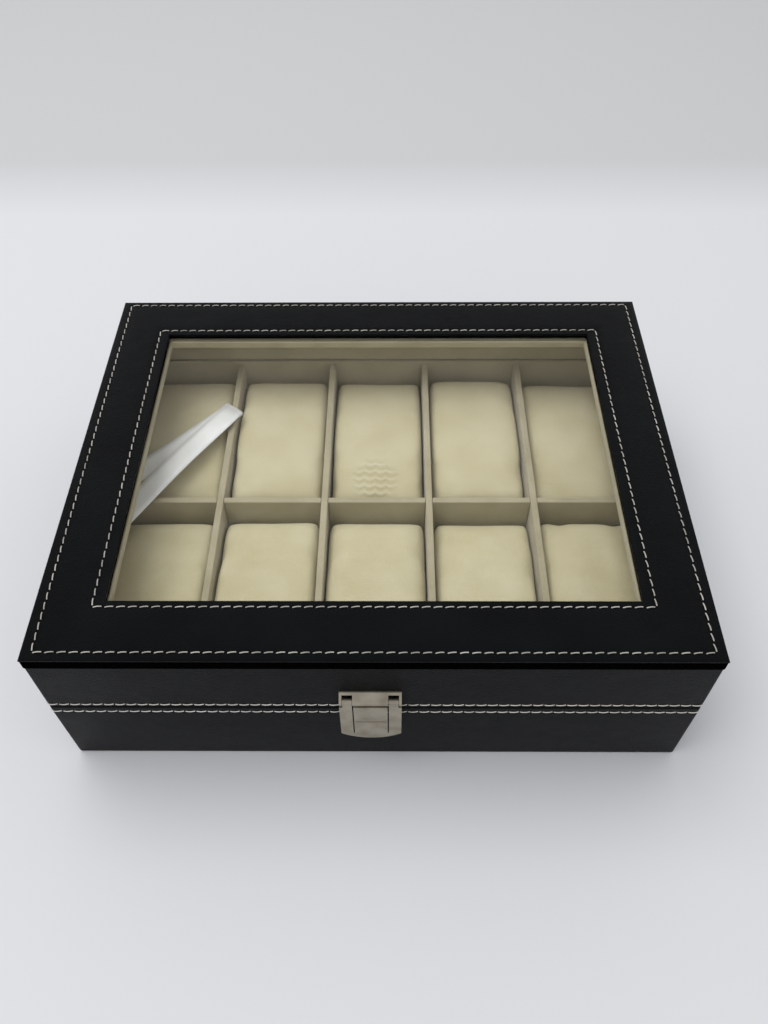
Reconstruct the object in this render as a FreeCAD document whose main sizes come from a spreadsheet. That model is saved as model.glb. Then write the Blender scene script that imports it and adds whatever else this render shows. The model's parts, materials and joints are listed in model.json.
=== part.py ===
import FreeCAD
import Part
import Sketcher
import math
import os

# Watch box for ten watches: leather-covered tray and lid, glass window, snap latch, two hinges, stay ribbon.
# Millimetres. Origin at the middle of the underside, +X to the right, +Y to the hinges, +Z up, latch at -Y.

doc = FreeCAD.newDocument("watch_box")
sheet = doc.addObject("Spreadsheet::Sheet", "Sizes")
pieces = []
rows = []


class Size:
    """A length that carries its number and the sheet formula that the number comes from."""

    def __init__(self, text, number):
        self.text = text
        self.number = number

    def __add__(self, other):
        other = sized(other)
        return Size(f"({self.text} + {other.text})", self.number + other.number)

    def __sub__(self, other):
        other = sized(other)
        return Size(f"({self.text} - {other.text})", self.number - other.number)

    def __mul__(self, other):
        other = sized(other)
        return Size(f"({self.text} * {other.text})", self.number * other.number)

    def __truediv__(self, other):
        other = sized(other)
        return Size(f"({self.text} / {other.text})", self.number / other.number)

    def __neg__(self):
        return Size(f"(-1 * {self.text})", -self.number)

    def __rsub__(self, other):
        return sized(other) - self

    __radd__ = __add__
    __rmul__ = __mul__


def sized(value):
    """A plain number as a Size."""
    return value if isinstance(value, Size) else Size(repr(float(value)), float(value))


def cell(name, number, note):
    """One driving dimension: a row of the sheet."""
    row = len(rows) + 1
    rows.append(name)
    sheet.set(f"A{row}", name)
    sheet.set(f"B{row}", str(number))
    sheet.set(f"C{row}", note)
    sheet.setAlias(f"B{row}", name)
    return Size(f"Sizes.{name}", float(number))


# Driving dimensions
body_width = cell("body_width", 248, "outside of the leather, left to right")
body_depth = cell("body_depth", 198, "outside of the leather, front to back")
base_height = cell("base_height", 42, "tray rim above the table")
lid_height = cell("lid_height", 37, "tray rim to the top of the lid")
parting_gap = cell("parting_gap", 0.4, "between tray rim and lid")
leather = cell("leather", 1, "leather skin")
base_board = cell("base_board", 5, "tray wall board")
lip_play = cell("lip_play", 1, "between the tray lip and the lid wall board")
bottom_board = cell("bottom_board", 3.6, "tray bottom board")
felt_stand = cell("felt_stand", 0.4, "felt stands this far below the leather")
felt_margin = cell("felt_margin", 12, "leather turned under, outside the felt")
base_lining = cell("base_lining", 2, "covered card round the tray")
floor_lining = cell("floor_lining", 1, "covered card on the tray floor")
lip_rise = cell("lip_rise", 6, "lining stands above the tray rim")
lip_gap = cell("lip_gap", 1.2, "between the tray lip and the lid lining, for the ribbon")
divider = cell("divider", 3, "covered divider thickness")
divider_drop = cell("divider_drop", 1.5, "dividers below the tray lip")
divider_slot_gap = cell("divider_slot_gap", 0.1, "play each side of a slotted divider")
divider_end_gap = cell("divider_end_gap", 0.2, "play at each end of a divider")
pillow_drop = cell("pillow_drop", 3.5, "crown of a pillow below the tray lip")
pillow_rest = cell("pillow_rest", 0.1, "pillow to the tray floor")
pillow_crown = cell("pillow_crown", 14.5, "crown of a pillow above the turn of its sides")
pillow_brow = cell("pillow_brow", 7.5, "rise of a pillow's rounded brow")
pillow_brow_deep = cell("pillow_brow_deep", 6, "depth of a pillow's rounded brow")
pillow_brow_round = cell("pillow_brow_round", 11, "radius of a pillow's brow")
pillow_foot = cell("pillow_foot", 6, "height of a pillow's rounded foot")
pillow_foot_deep = cell("pillow_foot_deep", 4, "depth of a pillow's rounded foot")
pillow_foot_round = cell("pillow_foot_round", 8, "radius of a pillow's foot")
pillow_side_bow = cell("pillow_side_bow", 60, "radius of a pillow's bowed sides")
pillow_side_gap = cell("pillow_side_gap", 0.7, "between pillow and divider, left and right")
pillow_end_gap = cell("pillow_end_gap", 2.2, "between pillow and wall, front and back")
pillow_draw = cell("pillow_draw", 3, "how far the pillow's end panels are drawn in")
panel_leather = cell("panel_leather", 1.3, "top ply of the lid's panel")
panel_backing = cell("panel_backing", 1.2, "lower ply of the lid's panel")
panel_overhang = cell("panel_overhang", 1, "panel over the lid's sides")
panel_step = cell("panel_step", 0.2, "lower ply of the panel short of the upper one")
panel_edge = cell("panel_edge", 0.9, "rounding of the panel's upper edge")
border_side = cell("border_side", 26, "panel edge to the opening, left and right")
border_front = cell("border_front", 25, "panel edge to the opening, front and back")
window_lining = cell("window_lining", 1, "velvet edging of the opening")
glass = cell("glass", 2, "glass thickness")
glass_lap = cell("glass_lap", 4, "glass beyond the opening on each side")
glass_play = cell("glass_play", 0.3, "glass to the edge of its rebate")
rail_shelf = cell("rail_shelf", 3, "wood under the glass")
corner_round = cell("corner_round", 1.2, "upright corners of the leather")
hinge_inset = cell("hinge_inset", 54, "middle of a hinge from the side of the box")
hinge_length = cell("hinge_length", 30, "hinge along its pin")
hinge_leaf = cell("hinge_leaf", 0.8, "hinge sheet")
hinge_flap = cell("hinge_flap", 14, "hinge leaf from the pin to its edge")
hinge_nail_edge = cell("hinge_nail_edge", 5, "hinge nails from the edges of the leaf")
hinge_middle = cell("hinge_middle", 12, "middle knuckle of the hinge")
hinge_pin_radius = cell("hinge_pin_radius", 1, "hinge pin")
hinge_stand = cell("hinge_stand", 0.15, "knuckle to the leather")
run_gap = cell("run_gap", 0.05, "running clearance of a pin")
knuckle_gap = cell("knuckle_gap", 0.15, "between neighbouring knuckles")
nail_radius = cell("nail_radius", 0.8, "nail shank")
nail_head = cell("nail_head", 1.7, "nail head radius")
nail_head_rise = cell("nail_head_rise", 0.6, "nail head above the sheet")
nail_short = cell("nail_short", 0.6, "point of a nail short of the inside of the lid board")
nail_gap = cell("nail_gap", 0.05, "nail to its hole")
latch_offset = cell("latch_offset", -1.2, "latch to the right of the box's middle")
latch_width = cell("latch_width", 23.4, "latch, left to right")
latch_sheet = cell("latch_sheet", 0.8, "latch sheet")
latch_rise = cell("latch_rise", 9.6, "latch pin above the lid's lower edge")
latch_top = cell("latch_top", 3.6, "latch plate above the pin")
latch_brow = cell("latch_brow", 1.2, "depth of the plate's upper edge")
latch_foot = cell("latch_foot", 3.5, "back of the plate below its knuckle")
latch_nail_edge = cell("latch_nail_edge", 2, "latch nails from the edges of their sheet")
latch_drop = cell("latch_drop", 27.7, "flap below the pin")
latch_bow_rise = cell("latch_bow_rise", 4, "rise of the flap's bowed lower edge")
latch_pin_radius = cell("latch_pin_radius", 0.9, "latch pin")
latch_stand = cell("latch_stand", 0.4, "latch knuckle to its plate")
latch_bar = cell("latch_bar", 1, "bar outside each window of the plate")
latch_window = cell("latch_window", 4, "window of the plate, left to right")
latch_slit = cell("latch_slit", 0.5, "slit beside the sprung tongue")
latch_play = cell("latch_play", 0.2, "flap to the windows of the plate")
latch_clear = cell("latch_clear", 0.3, "flap below the knuckle of the plate")
latch_root = cell("latch_root", 4.3, "lower end of the slits above the flap's lowest point")
hook_depth = cell("hook_depth", 1.2, "hook on the back of the tongue")
hook_height = cell("hook_height", 1.2, "height of the hook")
hook_inset = cell("hook_inset", 2, "hook from the sides of the tongue")
hook_under = cell("hook_under", 0.6, "hook below the lip of the catch")
crease_wide = cell("crease_wide", 0.5, "pressed line across the tongue")
crease_deep = cell("crease_deep", 0.25, "depth of the pressed line")
hook_drop = cell("hook_drop", 14, "hook below the latch pin")
hook_gap = cell("hook_gap", 0.5, "hook to the lip of the catch, tongue held clear")
catch_width = cell("catch_width", 12, "catch, left to right")
catch_drop = cell("catch_drop", 12, "catch plate below its lip")
ribbon_width = cell("ribbon_width", 11, "ribbon")
ribbon_thick = cell("ribbon_thick", 0.3, "ribbon thickness")
ribbon_reach = cell("ribbon_reach", 46, "fold of the ribbon from the left lining")
ribbon_fold_back = cell("ribbon_fold_back", 56, "fold of the ribbon behind the middle")
ribbon_base_back = cell("ribbon_base_back", 9, "tray end of the ribbon behind the middle")
ribbon_lid_front = cell("ribbon_lid_front", 19, "lid end of the ribbon before the middle")

columns = 5
lid_board = base_board - lip_play
middle = sized(0)

# Levels and faces that the pieces share
half_width = body_width / 2
half_depth = body_depth / 2
board_x = half_width - leather
board_y = half_depth - leather
board_bottom = felt_stand + leather
base_in_x = board_x - base_board
base_in_y = board_y - base_board
room_x = base_in_x - base_lining
room_y = base_in_y - base_lining
floor_board_top = board_bottom + bottom_board
floor = floor_board_top + floor_lining
lip_top = base_height + lip_rise
lid_bottom = base_height + parting_gap
lid_top = base_height + lid_height
panel_bottom = lid_top - panel_leather - panel_backing
panel_middle = lid_top - panel_leather
lid_in_x = board_x - lid_board
lid_in_y = board_y - lid_board
lid_lining_bottom = lip_top + lip_gap
glass_bottom = panel_bottom - glass
rail_bottom = glass_bottom - rail_shelf
panel_x = half_width + panel_overhang
panel_y = half_depth + panel_overhang
window_x = panel_x - border_side
window_y = panel_y - border_front
divider_top = lip_top - divider_drop
divider_height = divider_top - floor
pillow_height = lip_top - pillow_drop - floor - pillow_rest
nail_length = leather + lid_board - nail_short


def bind(thing, path, value):
    """Ties one property to its formula."""
    thing.setExpression(path, sized(value).text)


def put(thing, x, y, z):
    """Ties where a piece stands."""
    bind(thing, "Placement.Base.x", x)
    bind(thing, "Placement.Base.y", y)
    bind(thing, "Placement.Base.z", z)


def piece(thing, label):
    """Marks an object as a piece that is written out under its label."""
    thing.Label = label
    pieces.append(thing)
    return thing


def box(name, x, y, z):
    """A block between two faces along each axis."""
    block = doc.addObject("Part::Box", name)
    for path, (low, high) in zip(("Length", "Width", "Height"), (x, y, z)):
        bind(block, path, sized(high) - sized(low))
    put(block, x[0], y[0], z[0])
    return block


def both(half):
    """The pair of faces that stand half each side of the middle."""
    return (-half, half)


TURN = {
    "x": FreeCAD.Rotation(FreeCAD.Vector(0, 1, 0), 90),
    "y": FreeCAD.Rotation(FreeCAD.Vector(1, 0, 0), -90),
}


def rod(name, axis, radius, length, x, y, z):
    """A cylinder along X or Y from its starting point."""
    bar = doc.addObject("Part::Cylinder", name)
    bar.Placement = FreeCAD.Placement(FreeCAD.Vector(0, 0, 0), TURN[axis])
    bind(bar, "Radius", radius)
    bind(bar, "Height", length)
    put(bar, x, y, z)
    return bar


def join(name, parts):
    """Several solids as one."""
    whole = doc.addObject("Part::MultiFuse", name)
    whole.Shapes = parts
    return whole


def cut(name, base, tools):
    """A solid less one or more others."""
    left = doc.addObject("Part::Cut", name)
    left.Base = base
    left.Tool = tools[0] if len(tools) == 1 else join(name + "_tools", tools)
    return left


def round_edges(name, base, radius, choose):
    """Rounds the edges of a block that choose picks by direction and middle point."""
    doc.recompute()
    soft = doc.addObject("Part::Fillet", name)
    soft.Base = base
    picked = []
    for index, edge in enumerate(base.Shape.Edges):
        along = edge.tangentAt(edge.FirstParameter)
        if choose(along, edge.BoundBox.Center):
            picked.append((index + 1, radius.number, radius.number))
    soft.Edges = picked
    return soft


def new_body(name):
    return doc.addObject("PartDesign::Body", name)


def outline(body, name, plane, corners, bows=None, offset=None):
    """A closed sketch through corners given anticlockwise; bows gives the radius of a side that bulges outward."""
    bows = bows or {}
    sketch = body.newObject("Sketcher::SketchObject", name)
    support = [f for f in body.Origin.OriginFeatures if f.Role == plane][0]
    sketch.AttachmentSupport = [(support, "")]
    sketch.MapMode = "FlatFace"
    if offset is not None:
        bind(sketch, "AttachmentOffset.Base.z", offset)
    corners = [(sized(x), sized(y)) for x, y in corners]
    points = [FreeCAD.Vector(x.number, y.number, 0) for x, y in corners]
    count = len(points)
    for i, start in enumerate(points):
        end = points[(i + 1) % count]
        if i not in bows:
            sketch.addGeometry(Part.LineSegment(start, end))
            continue
        radius = bows[i].number
        chord = end - start
        inward = FreeCAD.Vector(-chord.y, chord.x, 0).normalize()
        centre = (start + end) * 0.5 + inward * math.sqrt(radius ** 2 - (chord.Length / 2) ** 2)
        first = math.atan2(start.y - centre.y, start.x - centre.x)
        last = math.atan2(end.y - centre.y, end.x - centre.x)
        circle = Part.Circle(centre, FreeCAD.Vector(0, 0, 1), radius)
        sketch.addGeometry(Part.ArcOfCircle(circle, first, last))
    for i in range(count):
        sketch.addConstraint(Sketcher.Constraint("Coincident", i, 2, (i + 1) % count, 1))
    for i, (x, y) in enumerate(corners):
        for kind, value, word in (("DistanceX", x, "across"), ("DistanceY", y, "up")):
            index = sketch.addConstraint(Sketcher.Constraint(kind, -1, 1, i, 1, value.number))
            sketch.renameConstraint(index, f"{word}_{i}")
            bind(sketch, f"Constraints.{word}_{i}", value)
    for i, radius in bows.items():
        index = sketch.addConstraint(Sketcher.Constraint("Radius", i, radius.number))
        sketch.renameConstraint(index, f"bow_{i}")
        bind(sketch, f"Constraints.bow_{i}", radius)
    return sketch


def pad(body, name, sketch, length, symmetric=False):
    """Material raised from a sketch."""
    raised = body.newObject("PartDesign::Pad", name)
    raised.Profile = sketch
    raised.SideType = "Symmetric" if symmetric else "One side"
    bind(raised, "Length", length)
    body.Tip = raised
    return raised


def bow_radius(chord, rise):
    """Radius of an arc from its chord and how far it rises."""
    return (chord * chord / 4 + rise * rise) / (rise * 2)


# Where the nails go: across, height, and the sheet they hold
hinge_axis_y = half_depth + hinge_stand + hinge_pin_radius + run_gap + hinge_leaf
hinge_axis_z = base_height + parting_gap / 2
knuckle = hinge_pin_radius + run_gap + hinge_leaf
hinge_nail_reach = hinge_flap - hinge_nail_edge
hinge_nail_side = hinge_length / 2 - hinge_nail_edge
hinge_middles = {"left": hinge_inset - half_width, "right": half_width - hinge_inset}
latch_knuckle = latch_pin_radius + run_gap + latch_sheet
latch_axis_y = -half_depth - latch_sheet - latch_stand - latch_knuckle
latch_axis_z = lid_bottom + latch_rise
catch_lip_bottom = latch_axis_z - hook_drop + hook_under
hood_foot = latch_axis_z - latch_knuckle - latch_foot
latch_nail_side = latch_width / 2 - latch_nail_edge * 3
latch_nail_z = hood_foot + latch_nail_edge
catch_nail_side = catch_width / 2 - latch_nail_edge - 1
catch_nail_z = catch_lip_bottom - catch_drop / 2 - 1

hinge_base_nail_spots = []
hinge_lid_nail_spots = []
for where in hinge_middles.values():
    for side in (-1, 1):
        across = where + hinge_nail_side * side
        hinge_base_nail_spots.append((across, hinge_axis_z - hinge_nail_reach))
        hinge_lid_nail_spots.append((across, hinge_axis_z + hinge_nail_reach))
latch_nail_spots = [(latch_offset + latch_nail_side * side, latch_nail_z) for side in (-1, 1)]
catch_nail_spots = [(latch_offset + catch_nail_side * side, catch_nail_z) for side in (-1, 1)]


def nail_holes(name, spots, back):
    """Holes for nails driven in from the back or the front face, through the sheet and into the wall."""
    reach = nail_length + nail_gap
    sheet_room = nail_radius * 2
    start = half_depth - reach if back else -half_depth - sheet_room
    return [
        rod(f"{name}_{i}", "y", nail_radius + nail_gap, reach + sheet_room, x, start, z)
        for i, (x, z) in enumerate(spots)
    ]


def nails(label, spots, back, sheet_thick):
    """One group of equal nails with flat heads on the sheet that they hold."""
    solids = []
    for i, (x, z) in enumerate(spots):
        length = nail_length + sheet_thick
        shank_start = half_depth - nail_length if back else -half_depth - sheet_thick
        head_start = half_depth + sheet_thick if back else -half_depth - sheet_thick - nail_head_rise
        shank = rod(f"{label}_shank_{i}", "y", nail_radius, length, x, shank_start, z)
        head = rod(f"{label}_head_{i}", "y", nail_head, nail_head_rise, x, head_start, z)
        solids.append(join(f"{label}_{i}", [shank, head]))
    group = doc.addObject("Part::Compound", label)
    group.Links = solids
    return piece(group, label)


# Tray: boards, leather, felt
base_wall_z = (board_bottom, base_height - leather)
front_wall = box("base_front_wall_board", both(board_x), (-board_y, -base_in_y), base_wall_z)
piece(cut("base_front_wall", front_wall, nail_holes("base_front_hole", catch_nail_spots, False)), "base_front_wall")
back_wall = box("base_back_wall_board", both(board_x), (base_in_y, board_y), base_wall_z)
piece(cut("base_back_wall", back_wall, nail_holes("base_back_hole", hinge_base_nail_spots, True)), "base_back_wall")
piece(box("base_left_wall", (-board_x, -base_in_x), both(base_in_y), base_wall_z), "base_left_wall")
piece(box("base_right_wall", (base_in_x, board_x), both(base_in_y), base_wall_z), "base_right_wall")
piece(
    box("base_bottom_board", both(base_in_x), both(base_in_y), (board_bottom, floor_board_top)),
    "base_bottom_board",
)


def upright_corner(along, at):
    return abs(along.z) > 0.9


base_block = box("base_wrap_block", both(half_width), both(half_depth), (felt_stand, base_height))
base_skin = round_edges("base_wrap_skin", base_block, corner_round, upright_corner)
felt_x = half_width - felt_margin
felt_y = half_depth - felt_margin
base_hollows = [
    box("base_wrap_hollow", both(board_x), both(board_y), base_wall_z),
    box("base_wrap_mouth", both(base_in_x), both(base_in_y), (base_height - leather * 2, base_height + leather)),
    box("base_wrap_foot", both(felt_x), both(felt_y), (-leather, board_bottom + leather)),
]
base_hollows += nail_holes("base_wrap_front_hole", catch_nail_spots, False)
base_hollows += nail_holes("base_wrap_back_hole", hinge_base_nail_spots, True)
piece(cut("base_leather_wrap", base_skin, base_hollows), "base_leather_wrap")
piece(box("base_bottom_felt", both(felt_x), both(felt_y), (middle, board_bottom)), "base_bottom_felt")

# Tray: linings
lining_z = (floor_board_top, lip_top)
for label, y in (("front", (-base_in_y, -room_y)), ("back", (room_y, base_in_y))):
    piece(box(f"base_lining_{label}", both(base_in_x), y, lining_z), f"base_lining_{label}")
for label, x in (("left", (-base_in_x, -room_x)), ("right", (room_x, base_in_x))):
    piece(box(f"base_lining_{label}", x, both(room_y), lining_z), f"base_lining_{label}")
piece(box("base_floor_lining", both(room_x), both(room_y), (floor_board_top, floor)), "base_floor_lining")

# Dividers, slotted into each other at half height
cell_width = (room_x * 2 - divider * (columns - 1)) / columns
cell_depth = (room_y * 2 - divider) / 2
divider_z = (floor, divider_top)
slot_z = floor + divider_height / 2
slot_half = divider / 2 + divider_slot_gap


def column_middle(index):
    """Middle of a column of cells, counted from the left."""
    return -room_x + cell_width / 2 + (cell_width + divider) * index


def divider_middle(index):
    return column_middle(index) + (cell_width + divider) / 2


long_board = box("divider_long_board", both(room_x - divider_end_gap), both(divider / 2), divider_z)
long_slots = []
for i in range(columns - 1):
    slot_x = (divider_middle(i) - slot_half, divider_middle(i) + slot_half)
    long_slots.append(box(f"divider_long_slot_{i}", slot_x, both(divider), (slot_z, divider_top + divider)))
piece(cut("divider_long", long_board, long_slots), "divider_long")
for i in range(columns - 1):
    cross_x = (divider_middle(i) - divider / 2, divider_middle(i) + divider / 2)
    wide_x = (divider_middle(i) - divider, divider_middle(i) + divider)
    cross_board = box(f"divider_cross_board_{i}", cross_x, both(room_y - divider_end_gap), divider_z)
    cross_slot = box(f"divider_cross_slot_{i}", wide_x, both(slot_half), (floor - divider, slot_z))
    piece(cut(f"divider_cross_{i + 1}", cross_board, [cross_slot]), f"divider_cross_{i + 1}")

# Pillows: crowned loaves with flat ends that are drawn in
pillow_half = cell_width / 2 - pillow_side_gap
pillow_deep = cell_depth / 2 - pillow_end_gap


def pillow_section(body, name, draw, offset):
    """Section of a pillow across its depth: flat foot, bowed sides and a crowned top."""
    deep = pillow_deep - draw
    foot = deep - pillow_foot_deep
    crown = pillow_height - draw
    shoulder = crown - pillow_crown
    brow = shoulder + pillow_brow
    brow_deep = deep - pillow_brow_deep
    corners = [
        (-foot, middle),
        (foot, middle),
        (deep, pillow_foot),
        (deep, shoulder),
        (brow_deep, brow),
        (-brow_deep, brow),
        (-deep, shoulder),
        (-deep, pillow_foot),
    ]
    bows = {
        1: pillow_foot_round,
        2: pillow_side_bow,
        3: pillow_brow_round,
        4: bow_radius(brow_deep * 2, crown - brow),
        5: pillow_brow_round,
        6: pillow_side_bow,
        7: pillow_foot_round,
    }
    return outline(body, name, "YZ_Plane", corners, bows, offset)


def pillow(label, x, y):
    body = new_body(label)
    ends = (("left", pillow_draw, -pillow_half), ("middle", middle, middle), ("right", pillow_draw, pillow_half))
    sections = [pillow_section(body, f"{label}_{name}", draw, offset) for name, draw, offset in ends]
    loaf = body.newObject("PartDesign::AdditiveLoft", label + "_loaf")
    loaf.Profile = sections[0]
    loaf.Sections = sections[1:]
    body.Tip = loaf
    put(body, x, y, floor + pillow_rest)
    piece(body, label)


row_middle = divider / 2 + cell_depth / 2
for row, y in (("back", row_middle), ("front", -row_middle)):
    for i in range(columns):
        pillow(f"pillow_{row}_{i + 1}", column_middle(i), y)

# Lid: boards and leather
lid_wall_z = (lid_bottom + leather, panel_bottom)
lid_front = box("lid_front_wall_board", both(board_x), (-board_y, -lid_in_y), lid_wall_z)
piece(cut("lid_front_wall", lid_front, nail_holes("lid_front_hole", latch_nail_spots, False)), "lid_front_wall")
lid_back = box("lid_back_wall_board", both(board_x), (lid_in_y, board_y), lid_wall_z)
piece(cut("lid_back_wall", lid_back, nail_holes("lid_back_hole", hinge_lid_nail_spots, True)), "lid_back_wall")
piece(box("lid_left_wall", (-board_x, -lid_in_x), both(lid_in_y), lid_wall_z), "lid_left_wall")
piece(box("lid_right_wall", (lid_in_x, board_x), both(lid_in_y), lid_wall_z), "lid_right_wall")
lid_block = box("lid_skirt_block", both(half_width), both(half_depth), (lid_bottom, panel_bottom))
lid_skin = round_edges("lid_skirt_skin", lid_block, corner_round, upright_corner)
lid_hollows = [
    box("lid_skirt_hollow", both(board_x), both(board_y), (lid_bottom + leather, panel_bottom + leather)),
    box("lid_skirt_mouth", both(lid_in_x), both(lid_in_y), (lid_bottom - leather, lid_bottom + leather * 2)),
]
lid_hollows += nail_holes("lid_skirt_front_hole", latch_nail_spots, False)
lid_hollows += nail_holes("lid_skirt_back_hole", hinge_lid_nail_spots, True)
piece(cut("lid_leather_skirt", lid_skin, lid_hollows), "lid_leather_skirt")

# Lid: rails round the glass, the glass, its velvet edging and the linings
rail_x = window_x + window_lining
rail_y = window_y + window_lining
rail_z = (rail_bottom, panel_bottom)
rails = {
    "front": (both(lid_in_x), (-lid_in_y, -rail_y)),
    "back": (both(lid_in_x), (rail_y, lid_in_y)),
    "left": ((-lid_in_x, -rail_x), both(rail_y)),
    "right": ((rail_x, lid_in_x), both(rail_y)),
}
glass_x = window_x + glass_lap
glass_y = window_y + glass_lap
for label, (x, y) in rails.items():
    rail = box(f"lid_rail_{label}_bar", x, y, rail_z)
    rebate = box(
        f"lid_rail_{label}_rebate",
        both(glass_x + glass_play),
        both(glass_y + glass_play),
        (glass_bottom, panel_bottom + leather),
    )
    piece(cut(f"lid_rail_{label}", rail, [rebate]), f"lid_rail_{label}")
piece(box("glass_pane", both(glass_x), both(glass_y), (glass_bottom, panel_bottom)), "glass_pane")
edging_under = box(
    "lid_window_lining_under", both(room_x), both(room_y), (rail_bottom - window_lining, rail_bottom)
)
edging_collar = box(
    "lid_window_lining_collar", both(rail_x), both(rail_y), (rail_bottom - window_lining, glass_bottom)
)
edging_hole = box(
    "lid_window_lining_hole", both(window_x), both(window_y), (rail_bottom - window_lining * 2, lid_top)
)
edging = join("lid_window_lining_whole", [edging_under, edging_collar])
piece(cut("lid_window_lining", edging, [edging_hole]), "lid_window_lining")
lid_lining_z = (lid_lining_bottom, rail_bottom)
for label, y in (("front", (-lid_in_y, -room_y)), ("back", (room_y, lid_in_y))):
    piece(box(f"lid_lining_{label}", both(lid_in_x), y, lid_lining_z), f"lid_lining_{label}")
for label, x in (("left", (-lid_in_x, -room_x)), ("right", (room_x, lid_in_x))):
    piece(box(f"lid_lining_{label}", x, both(room_y), lid_lining_z), f"lid_lining_{label}")

# Lid: the two plies of the top panel


def panel_ply(label, z, edge_x, edge_y, soft):
    block = box(f"{label}_block", both(edge_x), both(edge_y), z)
    block = round_edges(f"{label}_corners", block, corner_round, upright_corner)
    if soft:
        def upper_edge(along, at):
            return abs(at.z - z[1].number) < 0.01
        block = round_edges(f"{label}_rim", block, panel_edge, upper_edge)
    hole = box(f"{label}_hole", both(window_x), both(window_y), (z[0] - leather, z[1] + leather))
    piece(cut(label, block, [hole]), label)


backing_x = panel_x - panel_step
backing_y = panel_y - panel_step
panel_ply("lid_top_backing", (panel_bottom, panel_middle), backing_x, backing_y, False)
panel_ply("lid_top_leather", (panel_middle, lid_top), panel_x, panel_y, True)

# Hinges: three knuckles on a pin, the middle one on the lid
outer_knuckle = (hinge_length - hinge_middle) / 2 - knuckle_gap


def hinge(label, x):
    left_end = x - hinge_length / 2
    mid_start = x - hinge_middle / 2
    right_start = x + hinge_length / 2 - outer_knuckle
    plate_y = (half_depth, half_depth + hinge_leaf)
    away = knuckle + knuckle_gap
    spans = {"outer_left": (left_end, outer_knuckle), "outer_right": (right_start, outer_knuckle)}
    base_solids = [
        box(
            f"{label}_base_plate",
            (left_end, left_end + hinge_length),
            plate_y,
            (hinge_axis_z - hinge_flap, hinge_axis_z - away),
        )
    ]
    for name, (start, length) in spans.items():
        base_solids.append(rod(f"{label}_{name}", "x", knuckle, length, start, hinge_axis_y, hinge_axis_z))
        neck_z = (hinge_axis_z - away - hinge_leaf, hinge_axis_z)
        base_solids.append(box(f"{label}_{name}_neck", (start, start + length), plate_y, neck_z))
    lid_solids = [
        box(
            f"{label}_lid_plate",
            (left_end, left_end + hinge_length),
            plate_y,
            (hinge_axis_z + away, hinge_axis_z + hinge_flap),
        ),
        rod(f"{label}_middle", "x", knuckle, hinge_middle, mid_start, hinge_axis_y, hinge_axis_z),
        box(
            f"{label}_middle_neck",
            (mid_start, mid_start + hinge_middle),
            plate_y,
            (hinge_axis_z, hinge_axis_z + away + hinge_leaf),
        ),
    ]
    leaves = (("base", base_solids, hinge_base_nail_spots), ("lid", lid_solids, hinge_lid_nail_spots))
    for name, solids, spots in leaves:
        bore = rod(
            f"{label}_{name}_bore", "x", hinge_pin_radius + run_gap, hinge_length * 2,
            x - hinge_length, hinge_axis_y, hinge_axis_z,
        )
        near = [s for s in spots if abs(s[0].number - x.number) < hinge_length.number / 2]
        holes = nail_holes(f"{label}_{name}_hole", near, True)
        whole = join(f"{label}_{name}_whole", solids)
        piece(cut(f"{label}_{name}_leaf", whole, [bore] + holes), f"{label}_{name}_leaf")
    pin = rod(f"{label}_pin", "x", hinge_pin_radius, hinge_length, left_end, hinge_axis_y, hinge_axis_z)
    piece(pin, f"{label}_pin")


for side, where in hinge_middles.items():
    hinge(f"hinge_{side}", where)
nails("hinge_base_nails", hinge_base_nail_spots, True, hinge_leaf)
nails("hinge_lid_nails", hinge_lid_nail_spots, True, hinge_leaf)

# Latch: hooded plate on the lid, pin, sprung flap, catch on the tray
latch_half = latch_width / 2
latch_core = latch_half - latch_bar - latch_window
latch_front = latch_axis_y - latch_knuckle
latch_back = -half_depth
latch_bottom = latch_axis_z - latch_drop
hood_top = latch_axis_z + latch_top
hood_front = latch_axis_z + latch_sheet
hood_body = new_body("latch_hood")
hood_corners = [
    (latch_back, hood_foot),
    (latch_back, hood_top),
    (latch_back - latch_brow, hood_top),
    (latch_front, hood_front),
    (latch_front, latch_axis_z),
    (latch_front + latch_sheet, latch_axis_z),
    (latch_front + latch_sheet, hood_front - latch_sheet / 2),
    (latch_back - latch_sheet, hood_top - latch_sheet),
    (latch_back - latch_sheet, hood_foot),
]
hood_corners.reverse()
hood_sketch = outline(hood_body, "latch_hood_side", "YZ_Plane", hood_corners)
pad(hood_body, "latch_hood_pad", hood_sketch, latch_width, True)
put(hood_body, latch_offset, middle, middle)


def latch_ring(name, start, length, radius):
    """A length of rod on the latch pin's line, measured from the middle of the latch."""
    return rod(name, "x", radius, length, latch_offset + start, latch_axis_y, latch_axis_z)


plate_whole = join(
    "latch_plate_whole",
    [
        hood_body,
        latch_ring("latch_plate_core", -latch_core, latch_core * 2, latch_knuckle),
        latch_ring("latch_plate_left_ear", -latch_half, latch_bar, latch_knuckle),
        latch_ring("latch_plate_right_ear", latch_half - latch_bar, latch_bar, latch_knuckle),
    ],
)
window_tops = hood_top - latch_sheet - latch_clear
window_y_span = (latch_front - latch_sheet, latch_back - latch_sheet)
window_foot = latch_axis_z - latch_knuckle - latch_sheet
plate_cuts = [latch_ring("latch_plate_bore", -latch_width, latch_width * 2, latch_pin_radius + run_gap)]
for name, start in (("left", -latch_core - latch_window), ("right", latch_core)):
    span = (latch_offset + start, latch_offset + start + latch_window)
    plate_cuts.append(box(f"latch_plate_{name}_window", span, window_y_span, (window_foot, window_tops)))
plate_cuts += nail_holes("latch_plate_hole", latch_nail_spots, False)
piece(cut("latch_plate", plate_whole, plate_cuts), "latch_plate")
piece(latch_ring("latch_pin", -latch_half, latch_width, latch_pin_radius), "latch_pin")

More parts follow.
